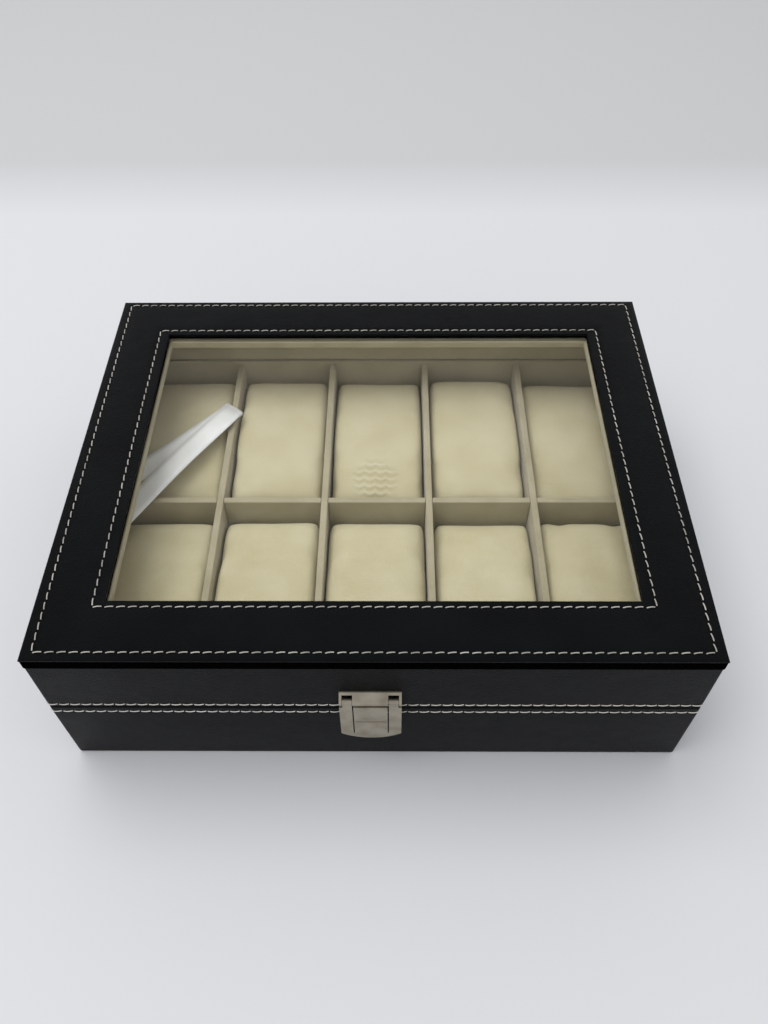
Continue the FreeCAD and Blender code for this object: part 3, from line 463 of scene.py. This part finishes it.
bm = bmesh.new()
bmesh.ops.create_grid(bm, x_segments=1, y_segments=1, size=1.0)
bmesh.ops.scale(bm, vec=(panel_half.x, panel_half.y, 1.0), verts=bm.verts[:])
bmesh.ops.translate(bm, vec=(0, 0, panel_low.z), verts=bm.verts[:])
top = bm.faces[:][0]
risen = bmesh.ops.extrude_face_region(bm, geom=[top])["geom"]
bmesh.ops.delete(bm, geom=[top], context="FACES_ONLY")
bmesh.ops.translate(bm, vec=(0, 0, rim_height), verts=only(bmesh.types.BMVert, risen))
top = only(bmesh.types.BMFace, risen)[0]
inset_steps(bm, top, rim)
fit_corner(bm, top, panel_half - seam_from_edge + groove_half)
inset_steps(bm, top, groove + rising + level_middle)
fit_corner(bm, top, window_half + seam_from_window + groove_half + falling_width)
inset_steps(bm, top, falling + groove + inner_flat)
fit_corner(bm, top, window_half + inner_rim_width)
inset_steps(bm, top, inner_rim)
edge_loop = top.edges[:]
bmesh.ops.delete(bm, geom=[top], context="FACES_ONLY")
down = bmesh.ops.extrude_edge_only(bm, edges=edge_loop)["geom"]
for v in only(bmesh.types.BMVert, down):
    v.co.z = panel_low.z
bmesh.ops.recalc_face_normals(bm, faces=bm.faces[:])
lid_panel = finish_piece("stitched_top_panel", bm, leather, "lid", ["lid_top_leather"])
print("top panel", len(lid_panel.data.polygons), "faces")

# %% [markdown]
# ## A strip of leather round the sides
# The lid's skirt and the tray's cover are strips of leather glued round the boards and turned in at their edges.
# One rounded loop is pushed along a profile of (inset, height) points; each step extrudes the loop and scales it.

# %% Strip of leather
side_corner = 1.2 * MM


def wrapped_strip(name, half, profile, body, nodes, painted_shade_above=None):
    """Faces above the given height, in mm, are near black: the cut edge of the leather and painted shade for the shadow
    under the top panel.
    """
    bm = bmesh.new()
    bmesh.ops.create_grid(bm, x_segments=1, y_segments=1, size=1.0)
    bmesh.ops.scale(bm, vec=(half.x, half.y, 1.0), verts=bm.verts[:])
    bmesh.ops.bevel(bm, geom=bm.verts[:], offset=side_corner, segments=4, profile=0.5, affect="VERTICES",
                    material=-1)
    bmesh.ops.delete(bm, geom=bm.faces[:], context="FACES_ONLY")
    loop = bm.edges[:]
    inset, height = profile[0]
    verts = bm.verts[:]
    bmesh.ops.scale(bm, vec=(1 - inset * MM / half.x, 1 - inset * MM / half.y, 1.0), verts=verts)
    bmesh.ops.translate(bm, vec=(0, 0, height * MM), verts=verts)
    for next_inset, next_height in profile[1:]:
        grown = bmesh.ops.extrude_edge_only(bm, edges=loop)["geom"]
        verts = only(bmesh.types.BMVert, grown)
        loop = [e for e in only(bmesh.types.BMEdge, grown) if all(v in verts for v in e.verts)]
        scale_x = (half.x - next_inset * MM) / (half.x - inset * MM)
        scale_y = (half.y - next_inset * MM) / (half.y - inset * MM)
        bmesh.ops.scale(bm, vec=(scale_x, scale_y, 1.0), verts=verts)
        bmesh.ops.translate(bm, vec=(0, 0, (next_height - height) * MM), verts=verts)
        inset, height = next_inset, next_height
    bmesh.ops.recalc_face_normals(bm, faces=bm.faces[:])
    # faces of the top strip get the near-black material, painted shade under the panel
    if painted_shade_above:
        for face in bm.faces:
            face.material_index = 1 if face.calc_center_median().z > painted_shade_above * MM else 0
    strip = finish_piece(name, bm, leather, body, nodes)
    strip.data.materials.append(cut_edge_painted_shade)
    print(name, len(strip.data.polygons), "faces")


puff = Vector((1.0, 0.6, 0)) * MM  # leather stands off the boards, so the sides are nearly flush with the panel
print("leather stands", round(puff.x / MM, 1), "mm off the ends and", round(puff.y / MM, 1), "mm off the front")

# %% [markdown]
# ## The lid's skirt and the tray's cover
# Both strips have a seam close to the parting line, where the thread pulls the leather in by a third of a millimetre.
# Under the panel the skirt has a near-black strip about 4 mm tall, which stands a little proud: partly the cut edge of
# the panel's plies and partly painted shade for the shadow under the panel's overhang.
# The tray's cover is drawn in towards its foot and turned under the box.

# %% Lid skirt and tray cover
skirt_low, skirt_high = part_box("lid_leather_skirt")
wrap_low, wrap_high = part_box("base_leather_wrap")
lid_half = skirt_high + puff
tray_half = wrap_high + puff
lid_edge, lid_shoulder = skirt_low.z / MM, skirt_high.z / MM
tray_foot, tray_rim = wrap_low.z / MM, wrap_high.z / MM
lid_seam = lid_edge + 2.0
# above this height the skirt is near black, partly cut edge and partly painted shade under the panel
shade_band_foot = lid_shoulder - 4.0
tray_seam = tray_rim - 3.4
skirt_profile = [
    (5.0, lid_edge + 1.0), (5.0, lid_edge + 0.1), (4.9, lid_edge), (0.8, lid_edge), (0.3, lid_edge + 0.12),
    (0.05, lid_edge + 0.45), (0.0, lid_edge + 0.9), (0.05, lid_seam - 0.45), (0.3, lid_seam),
    (0.05, lid_seam + 0.5), (0.0, lid_seam + 1.5), (0.0, shade_band_foot - 0.2),
    (-0.15, shade_band_foot), (-0.3, shade_band_foot + 0.25), (-0.3, lid_shoulder - 0.1), (0.0, lid_shoulder)]
wrap_profile = [
    (6.0, tray_rim - 1.0), (6.0, tray_rim - 0.1), (5.9, tray_rim), (0.8, tray_rim), (0.3, tray_rim - 0.12),
    (0.05, tray_rim - 0.45), (0.0, tray_rim - 1.2), (0.05, tray_seam + 0.5), (0.3, tray_seam),
    (0.05, tray_seam - 0.5), (0.0, tray_seam - 1.5), (0.3, tray_foot + 0.9), (0.42, tray_foot + 0.4),
    (0.8, tray_foot + 0.08), (1.3, tray_foot), (12.0, tray_foot), (12.0, tray_foot + 1.0)]
wrapped_strip("lid_skirt", lid_half, skirt_profile, "lid", ["lid_leather_skirt"], shade_band_foot - 0.15)
wrapped_strip("tray_cover", tray_half, wrap_profile, "base", ["base_leather_wrap"])
print("lid seam at", round(lid_seam, 2), "mm, tray seam at", round(tray_seam, 2), "mm")

# %% [markdown]
# ## One stitch
# A stitch is a short arched length of thread that dives into the leather at both ends. A curve with a bevel could make
# it, but spinning a small ring through part of a turn gives the same arch with fewer faces, and hundreds are needed.

# %% One stitch
def one_stitch(name, length, rise, thickness):
    bm = bmesh.new()
    radius = ((length / 2) ** 2 + rise ** 2) / (2 * rise)
    half_turn = math.asin(length / 2 / radius)
    ring = bmesh.ops.create_circle(bm, segments=6, radius=thickness / 2)
    turn = Matrix.Translation((0, 0, radius)) @ Matrix.Rotation(math.pi / 2, 4, "Y")
    bmesh.ops.transform(bm, matrix=Matrix.Rotation(-half_turn, 4, "Y") @ turn, verts=ring["verts"])
    bmesh.ops.spin(bm, geom=bm.edges[:], cent=(0, 0, 0), axis=(0, 1, 0), angle=2 * half_turn, steps=5)
    bmesh.ops.translate(bm, vec=(0, 0, rise - radius), verts=bm.verts[:])
    bmesh.ops.scale(bm, vec=(1.0, 1.15, 0.8), verts=bm.verts[:])  # the thread is pressed a little flat
    bmesh.ops.recalc_face_normals(bm, faces=bm.faces[:])
    mesh = bpy.data.meshes.new(name)
    bm.to_mesh(mesh)
    bm.free()
    return mesh


side_half = 1.85 * MM
top_stitch = one_stitch("top_stitch", length=3.0 * MM, rise=0.36 * MM, thickness=0.46 * MM)
side_stitch = one_stitch("side_stitch", length=2 * side_half, rise=0.32 * MM, thickness=0.44 * MM)
print("a stitch has", len(top_stitch.polygons), "faces")

# %% [markdown]
# ## Rows of stitches
# Four rows of lockstitch hold the leather: two on the top panel and one on each side of the parting line. An array
# modifier would set them out too evenly, so copies follow the sides of a rectangle in a loop. They lean a few degrees,
# as a machine lockstitch does, and drift a little. None is sewn where a metal fitting lies over the seam.

# %% Rows of stitches
stitch_pitch = 4.3 * MM
lean_drift, side_drift, drift_mm = 4, 0.15 * MM, 11.0  # degrees, metres, and the length over which they change
fitting_reach = 6 * MM
fittings = [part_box(n) for n in body_of if n.endswith("_leaf") or n in ("latch_catch", "latch_plate")]


def covered(spot):
    """A stitch that lies wholly under a metal fitting is left out."""
    return any(low.x < spot.x - side_half and spot.x + side_half < high.x and low.z < spot.z < high.z
               and abs(spot.y - (low.y + high.y) / 2) < fitting_reach for low, high in fittings)


def stitch_row(name, half_x, half_y, height, body, upright, lean_deg):
    """A row round a rectangle: upright rows lie on the sides of the box, the others on its top."""
    corners = [Vector((sx * half_x, sy * half_y, height)) for sx, sy in ((-1, -1), (1, -1), (1, 1), (-1, 1))]
    bm = bmesh.new()
    count = 0
    for i, start in enumerate(corners):
        run = corners[(i + 1) % 4] - start
        along = run.normalized()
        outward = along.cross(Vector((0, 0, 1))) if upright else Vector((0, 0, 1))
        number = round(run.length / stitch_pitch)
        for k in range(number):
            middle = start + run * ((k + 0.5) / number)
            if covered(middle):
                continue
            drift = noise.noise(middle * per_mm(drift_mm)) * 0.5
            lean = Matrix.Rotation(math.radians(lean_deg + lean_drift * drift), 4, outward)
            axes = Matrix((along, outward.cross(along), outward)).transposed().to_4x4()
            spot = Matrix.Translation(middle + outward.cross(along) * drift * side_drift) @ lean @ axes
            first = len(bm.verts)
            bm.from_mesh(side_stitch if upright else top_stitch)
            bm.verts.ensure_lookup_table()
            bmesh.ops.transform(bm, matrix=spot, verts=bm.verts[first:])
            count += 1
    finish_piece(name, bm, side_thread if upright else top_thread, body, smooth_angle=80)
    print(name, count, "stitches")


top_z = panel_high.z - 0.05 * MM
side_depth = 0.1 * MM
top_lean, side_lean = 7, 4
edge_seam, window_seam = panel_half - seam_from_edge, window_half + seam_from_window
stitch_row("stitches_panel_edge", edge_seam.x, edge_seam.y, top_z, "lid", False, top_lean)
stitch_row("stitches_window", window_seam.x, window_seam.y, top_z, "lid", False, top_lean)
stitch_row("stitches_lid_side", lid_half.x - side_depth, lid_half.y - side_depth, lid_seam * MM, "lid", True, side_lean)
stitch_row("stitches_tray_side", tray_half.x - side_depth, tray_half.y - side_depth, tray_seam * MM, "base", True,
           side_lean)

# %% [markdown]
# ## Swelling a pillow
# Each cell holds a loose pillow that a watch is strapped round: a crowned roll, flat where it sits, drawn in a little
# at its ends. It could be sculpted, but a cloth simulation with air pressure inside gives the uneven fullness of real
# stuffing. How far a point may move is capped, so each pillow stays in its cell, and the pile is smoothed afterwards.

# %% Swelling
pillow_pressure = 4.0
swell_cap = 1.2 * MM
swell_frames = 20


def evaluated(piece):
    return piece.evaluated_get(bpy.context.evaluated_depsgraph_get())


def swollen(piece, pinned_below):
    """Inflates a piece as cloth, keeps its foot where it is and caps how far each point moves."""
    before = [v.co.copy() for v in piece.data.vertices]
    foot = piece.vertex_groups.new(name="foot")
    foot.add([v.index for v in piece.data.vertices if v.co.z < pinned_below], 1.0, "REPLACE")
    cloth = piece.modifiers.new("cloth", "CLOTH")
    cloth.settings.use_pressure = True
    cloth.settings.uniform_pressure_force = pillow_pressure
    cloth.settings.effector_weights.gravity = 0
    cloth.settings.vertex_group_mass = "foot"
    for number in range(1, swell_frames + 1):
        bpy.context.scene.frame_set(number)
    blown = bpy.data.meshes.new_from_object(evaluated(piece))
    piece.modifiers.remove(cloth)
    piece.vertex_groups.remove(foot)
    bpy.context.scene.frame_set(1)
    furthest = 0.0
    for vertex, was, now in zip(piece.data.vertices, before, blown.vertices):
        move = now.co - was
        furthest = max(furthest, move.length)
        vertex.co = was + move * min(1.0, swell_cap / max(move.length, 1e-9))
    bpy.data.meshes.remove(blown)
    return furthest


def even_out(piece):
    """Takes the small steps that the even squares leave out of the skin."""
    bm = bmesh.new()
    bm.from_mesh(piece.data)
    for _ in range(3):
        bmesh.ops.smooth_vert(bm, verts=bm.verts[:], factor=0.5, use_axis_x=True, use_axis_y=True, use_axis_z=True)
    bm.to_mesh(piece.data)
    bm.free()


print("a pillow swells by", round(swell_cap / MM, 1), "mm at most")

# %% [markdown]
# ## Settling a pillow
# Stuffing shifts and velvet creases with use, so no two pillows are alike: some are flatter, one sags at the back and
# one is puckered at its back edge. These are broad, shallow forms, so a few smooth functions of the place on the
# pillow move its points, and the result is kept to the solid's box.

# %% Settling
end_fill, brow_fill = 0.1, 0.21  # how much fuller than the solid towards the ends, and at the front and back edges
dent_depth, dent_mm = 0.7, 22.0
pucker_width, pucker_depth = 0.13, 1.6  # a share of the half width, and mm
seam_slack = 0.4 * MM


def plump(bm, low, high):
    """Fills out a pillow's solid: squarer along its front and back edges and hardly drawn in at its ends."""
    middle, half = (low + high) / 2, (high - low) / 2
    for v in bm.verts:
        u, w = (v.co.x - middle.x) / half.x, (v.co.y - middle.y) / half.y
        brow = 1 + brow_fill * min(1.0, abs(w)) ** 3
        v.co.y = middle.y + (v.co.y - middle.y) * (1 + end_fill * u * u)
        v.co.z = low.z + (v.co.z - low.z) * (1 + end_fill * u * u) * brow


def settle(piece, low, high, back_dip, lean, puckers):
    """Gives a pillow its own dents, sag and puckers, and keeps it inside the solid's box."""
    middle, half = (low + high) / 2, (high - low) / 2
    seed = Vector((middle.x, middle.y, 0.3)) * 40
    for v in piece.data.vertices:
        u, w = (v.co.x - middle.x) / half.x, (v.co.y - middle.y) / half.y
        rise = (v.co.z - low.z) / (high.z - low.z)
        dent = noise.noise(v.co * per_mm(dent_mm) + seed) * dent_depth
        sag = back_dip * max(0.0, w) ** 3 * (1 - abs(u) ** 3)
        pinch = sum(math.exp(-((u - at) / pucker_width) ** 2) for at in puckers) * max(0.0, w) ** 6 * pucker_depth
        v.co.z += (dent + lean * u - sag - pinch) * rise * MM
        v.co.y -= pinch * rise * MM
        v.co.x = min(max(v.co.x, low.x), high.x)
        v.co.y = min(max(v.co.y, low.y - seam_slack), high.y + seam_slack)
        v.co.z = min(max(v.co.z, low.z), high.z)


print("dents of", dent_depth, "mm over", dent_mm, "mm")

# %% [markdown]
# ## The ten pillows
# A pillow starts from a copy of its solid, filled out and given a little play in its cell. Cloth needs even squares,
# and a voxel remesh makes them. A subdivision surface then makes the skin fine.

# %% Pillows
pillow_voxel = 2.5 * MM
play_x, play_y, play_z = 0.99, 0.985, 0.97
# fullness, dip of the back edge in mm, lean to the right in mm, puckers on the back edge as shares of the half width
pillow_habits = {
    "pillow_back_1": (0.985, 0.3, 0.0, ()), "pillow_back_2": (1.0, 0.2, -0.3, ()),
    "pillow_back_3": (0.985, 1.5, 0.2, ()), "pillow_back_4": (1.01, -0.2, -0.4, ()),
    "pillow_back_5": (0.94, 1.2, -0.4, ()), "pillow_front_1": (0.985, 0.3, 0.3, ()),
    "pillow_front_2": (1.0, 0.2, 0.4, ()), "pillow_front_3": (0.995, 0.4, 0.0, ()),
    "pillow_front_4": (0.97, 0.8, -0.4, ()), "pillow_front_5": (0.985, 0.3, -0.3, (-0.55, 0.6)),
}


def make_pillow(node, fullness, back_dip, lean, puckers):
    low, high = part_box(node)
    foot = Vector(((low.x + high.x) / 2, (low.y + high.y) / 2, low.z))
    bm = bmesh.new()
    bm.from_mesh(frame["nodes"][node].data)
    bmesh.ops.remove_doubles(bm, verts=bm.verts[:], dist=0.01 * MM)
    plump(bm, low, high)
    bmesh.ops.scale(bm, vec=(play_x, play_y, play_z * fullness), space=Matrix.Translation(-foot), verts=bm.verts[:])
    velvet_here = crushed_velvet if node == "pillow_back_3" else cream_velvet
    piece = finish_piece(node + "_stuffed", bm, velvet_here, None, smooth_angle=80)
    swell = 0.0
    remesh = piece.modifiers.new("even_cloth", "REMESH")
    remesh.mode = "VOXEL"
    remesh.voxel_size = pillow_voxel
    piece.data = bpy.data.meshes.new_from_object(evaluated(piece))
    piece.modifiers.remove(remesh)
    piece.data.materials.clear()
    piece.data.materials.append(velvet_here)
    swell = swollen(piece, low.z + pillow_voxel)
    even_out(piece)
    settle(piece, low, high, back_dip, lean, puckers)
    piece.data.shade_smooth()
    fine = piece.modifiers.new("fine_cloth", "SUBSURF")
    fine.levels = fine.render_levels = 1
    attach(piece, node)
    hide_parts(node)
    print(piece.name, len(piece.data.polygons), "faces, swelled by", round(swell / MM, 1), "mm")


for node, habits in pillow_habits.items():
    make_pillow(node, *habits)

# %% [markdown]
# ## The route of the stay ribbon
# A satin ribbon tucked behind the left linings stops the lid. With the box shut it lies folded once on the dividers:
# the lower leg runs from the tray to the fold, the upper leg back to the lid. Near the fold its cross lines turn from
# square to the crease, as they do in a flat strip that is folded over.

# %% Route of the ribbon
ribbon_half = 5.5 * MM
ribbon_thick = 0.22 * MM
lining_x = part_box("base_lining_left")[1].x
fold_point = Vector((lining_x + 46 * MM, 56 * MM, 0))
tray_point = Vector((lining_x, 9 * MM, 0))
lid_point = Vector((lining_x, -19 * MM, 0))
lower_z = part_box("ribbon_lower_leg")[0].z + 0.15 * MM
bend_radius = 0.45 * MM
tuck = 2 * MM
lower_bow, upper_bow = -0.6 * MM, 1.4 * MM
leg_steps = 14
bend_steps = 6
to_fold = (fold_point - tray_point).normalized()
to_lid = (lid_point - fold_point).normalized()
crease = (to_fold + to_lid).normalized()
up = Vector((0, 0, 1))


def leg_stations(begin, end, height, bow, fold_first):
    """Middles and across directions of a leg; across turns from square to the crease in the third by the fold."""
    square = (end - begin).normalized().cross(up)
    square = -square if fold_first else square
    slanted = crease / abs(crease.dot(square))
    for k in range(leg_steps + 1):
        t = k / leg_steps
        near_fold = max(0.0, 1 - 3 * t) if fold_first else max(0.0, 3 * t - 2)
        middle = begin.lerp(end, t) + up * (height + bow * math.sin(math.pi * t) ** 2)
        yield middle, square.lerp(slanted, near_fold)


def bend_stations():
    slanted = crease / abs(crease.dot(to_fold.cross(up)))
    outward = (to_fold - to_lid).normalized()
    for k in range(1, bend_steps + 1):
        a = math.pi * k / bend_steps
        lift = lower_z + bend_radius * (1 - math.cos(a))
        yield fold_point + outward * bend_radius * math.sin(a) + up * lift, slanted


lower = list(leg_stations(tray_point - to_fold * tuck, fold_point, lower_z, lower_bow, False)) + list(bend_stations())
upper = list(leg_stations(fold_point, lid_point + to_lid * tuck, lower_z + 2 * bend_radius, upper_bow, True))
print("ribbon stations", len(lower), "and", len(upper))

# %% [markdown]
# ## The two strips of ribbon
# One strip blended across the fold would twist when the lid opens and the fold turns by half a circle. So each leg
# rides on its own body, and the lower one carries the tight bend. A short edge across the ribbon is extruded from
# station to station, with a UV map in metres laid along it for the weave.

# %% Ribbon strips
def ribbon_strip(name, stations, body, node):
    bm = bmesh.new()
    spread = bm.loops.layers.uv.new("ribbon")
    middle, across = stations[0]
    ends = [bm.verts.new(middle + across * ribbon_half * side) for side in (-1, 1)]
    edge = bm.edges.new(ends)
    travelled = 0.0
    place = {v: (side, 0.0) for v, side in zip(ends, (0.0, 2 * ribbon_half))}
    for (was, across_was), (middle, across) in zip(stations, stations[1:]):
        grown = bmesh.ops.extrude_edge_only(bm, edges=[edge])["geom"]
        ends = only(bmesh.types.BMVert, grown)
        edge = next(e for e in only(bmesh.types.BMEdge, grown) if set(e.verts) == set(ends))
        ends.sort(key=lambda v: (v.co - was).dot(across_was))
        travelled += (middle - was).length
        for v, side in zip(ends, (-1, 1)):
            v.co = middle + across * ribbon_half * side
            place[v] = ((side + 1) * ribbon_half, travelled)
    for face in bm.faces:
        for loop in face.loops:
            loop[spread].uv = place[loop.vert]
    rungs = [e for e in bm.edges if place[e.verts[0]][1] == place[e.verts[1]][1]]
    bmesh.ops.subdivide_edges(bm, edges=rungs, cuts=3, use_grid_fill=True)
    strip = finish_piece(name, bm, satin, body, [node], smooth_angle=80)
    thick = strip.modifiers.new("cloth_thickness", "SOLIDIFY")
    thick.thickness = ribbon_thick
    thick.offset = 0.0
    print(name, round(travelled / MM, 1), "mm long")


ribbon_strip("stay_ribbon_lower", lower, "ribbon_lower", "ribbon_lower_leg")
ribbon_strip("stay_ribbon_upper", upper, "ribbon_upper", "ribbon_upper_leg")

# %% [markdown]
# ## The floor
# The box stands on pale paper that is painted a little greyer behind it, painted shade for a sheet that would lean up
# there and get less light. A curved backdrop could be modelled, but a flat sheet is used: its painted tone changes past
# 0.30 m behind the middle, and it fades out far from the box, so no edge of it shows against the room.

# %% Floor
floor_half = 2.0
shade_from, shade_length = 0.30, 0.6
fade_from, fade_to = 0.8, 1.8


def pale_paper():
    """Uncoated white paper: a matt pale grey that keeps the soft shadow of the box, with painted shade making it greyer
    behind.
    """
    material, tree, shader, place = new_material("pale_table_paper")
    axes = add(tree, "ShaderNodeSeparateXYZ", {"Vector": place})
    # painted shade: the paper turns greyer past 0.30 m, in place of the less lit backdrop
    back = add(tree, "ShaderNodeMapRange", {"Value": axes.outputs["Y"], "From Min": shade_from,
                                            "From Max": shade_from + shade_length})
    far = add(tree, "ShaderNodeVectorMath", {0: place}, operation="LENGTH")
    fade = add(tree, "ShaderNodeMapRange", {"Value": far.outputs["Value"], "From Min": fade_from, "From Max": fade_to,
                                            "To Min": 1.0, "To Max": 0.0}, interpolation_type="SMOOTHSTEP")
    plug(tree, shader, {"Base Color": two_tone(tree, back.outputs["Result"], "#d8d9dc", "#c5c6c7", 0.0, 0.12),
                        "Alpha": fade.outputs["Result"], "Roughness": 0.6, "Specular IOR Level": 0.3})
    return material


bm = bmesh.new()
bmesh.ops.create_grid(bm, x_segments=1, y_segments=1, size=floor_half)
floor = finish_piece("table", bm, pale_paper(), None)
print("floor", 2 * floor_half, "m square")

# %% [markdown]
# ## Light
# An even sky, a little brighter behind the box than in front of it, and one broad lamp overhead give the soft shade of
# a room. A picture of a room could light it too, but a plain sky leaves nothing strange in the metal.

# %% Light
sky_front, sky_back = 0.62, 0.88
world = bpy.data.worlds.new("room")
bpy.context.scene.world = world
world.use_nodes = True
room = world.node_tree
way = add(room, "ShaderNodeSeparateXYZ", {"Vector": add(room, "ShaderNodeTexCoord").outputs["Generated"]})
level = add(room, "ShaderNodeMapRange", {"Value": way.outputs["Y"], "From Min": -1.0, "To Min": sky_front,
                                         "To Max": sky_back})
plug(room, room.nodes["Background"], {"Color": srgb("#f2f3f5"), "Strength": level.outputs["Result"]})


def soft_lamp(name, place, target, size, watts):
    lamp = bpy.data.lights.new(name, "AREA")
    lamp.shape = "RECTANGLE"
    lamp.size, lamp.size_y = size
    lamp.energy = watts
    holder = bpy.data.objects.new(name, lamp)
    holder.location = place
    holder.rotation_euler = (Vector(target) - Vector(place)).to_track_quat("-Z", "Y").to_euler()
    bpy.context.scene.collection.objects.link(holder)
    print(name, watts, "W")
    return holder


ceiling = soft_lamp("ceiling_panel", place=(-0.45, 0.05, 1.55), target=(0, 0, 0), size=(1.5, 0.9), watts=13.5)
ceiling.visible_glossy = False  # no hard edge of the lamp in the glass
soft_lamp("room_bounce", place=(0.2, -1.6, 0.9), target=(0, 0, 0.1), size=(1.6, 1.0), watts=1.5)

# %% [markdown]
# ## Camera
# The camera has the photograph's height, tilt and field of view. It could be aimed by a constraint, but three angles
# and a place say exactly where it stood. Its lens is worked out from the focal length in pixels of a picture 1024
# pixels tall, because the longer side of a picture fills the sensor's width.

# %% Camera
pixels_tall = 1024
focal_pixels = 879.4
sensor = 36.0
camera_place = Vector((7.0, -252.3, 351.2)) * MM
pitch, yaw, roll = math.radians(51.166), math.radians(-0.867), math.radians(0.669)
ahead = Vector((math.sin(yaw) * math.cos(pitch), math.cos(yaw) * math.cos(pitch), -math.sin(pitch)))
right = Vector((math.cos(yaw), -math.sin(yaw), 0))
down = ahead.cross(right)
right, down = right * math.cos(roll) + down * math.sin(roll), down * math.cos(roll) - right * math.sin(roll)
lens = bpy.data.cameras.new("photo_camera")
lens.sensor_width = sensor
lens.lens = sensor * focal_pixels / pixels_tall
lens.clip_start = 0.01
camera = bpy.data.objects.new("photo_camera", lens)
camera.matrix_world = Matrix.Translation(camera_place) @ Matrix((right, -down, -ahead)).transposed().to_4x4()
bpy.context.scene.collection.objects.link(camera)
bpy.context.scene.camera = camera
bpy.context.scene.view_settings.view_transform = "Standard"
print("lens", round(lens.lens, 2), "mm")
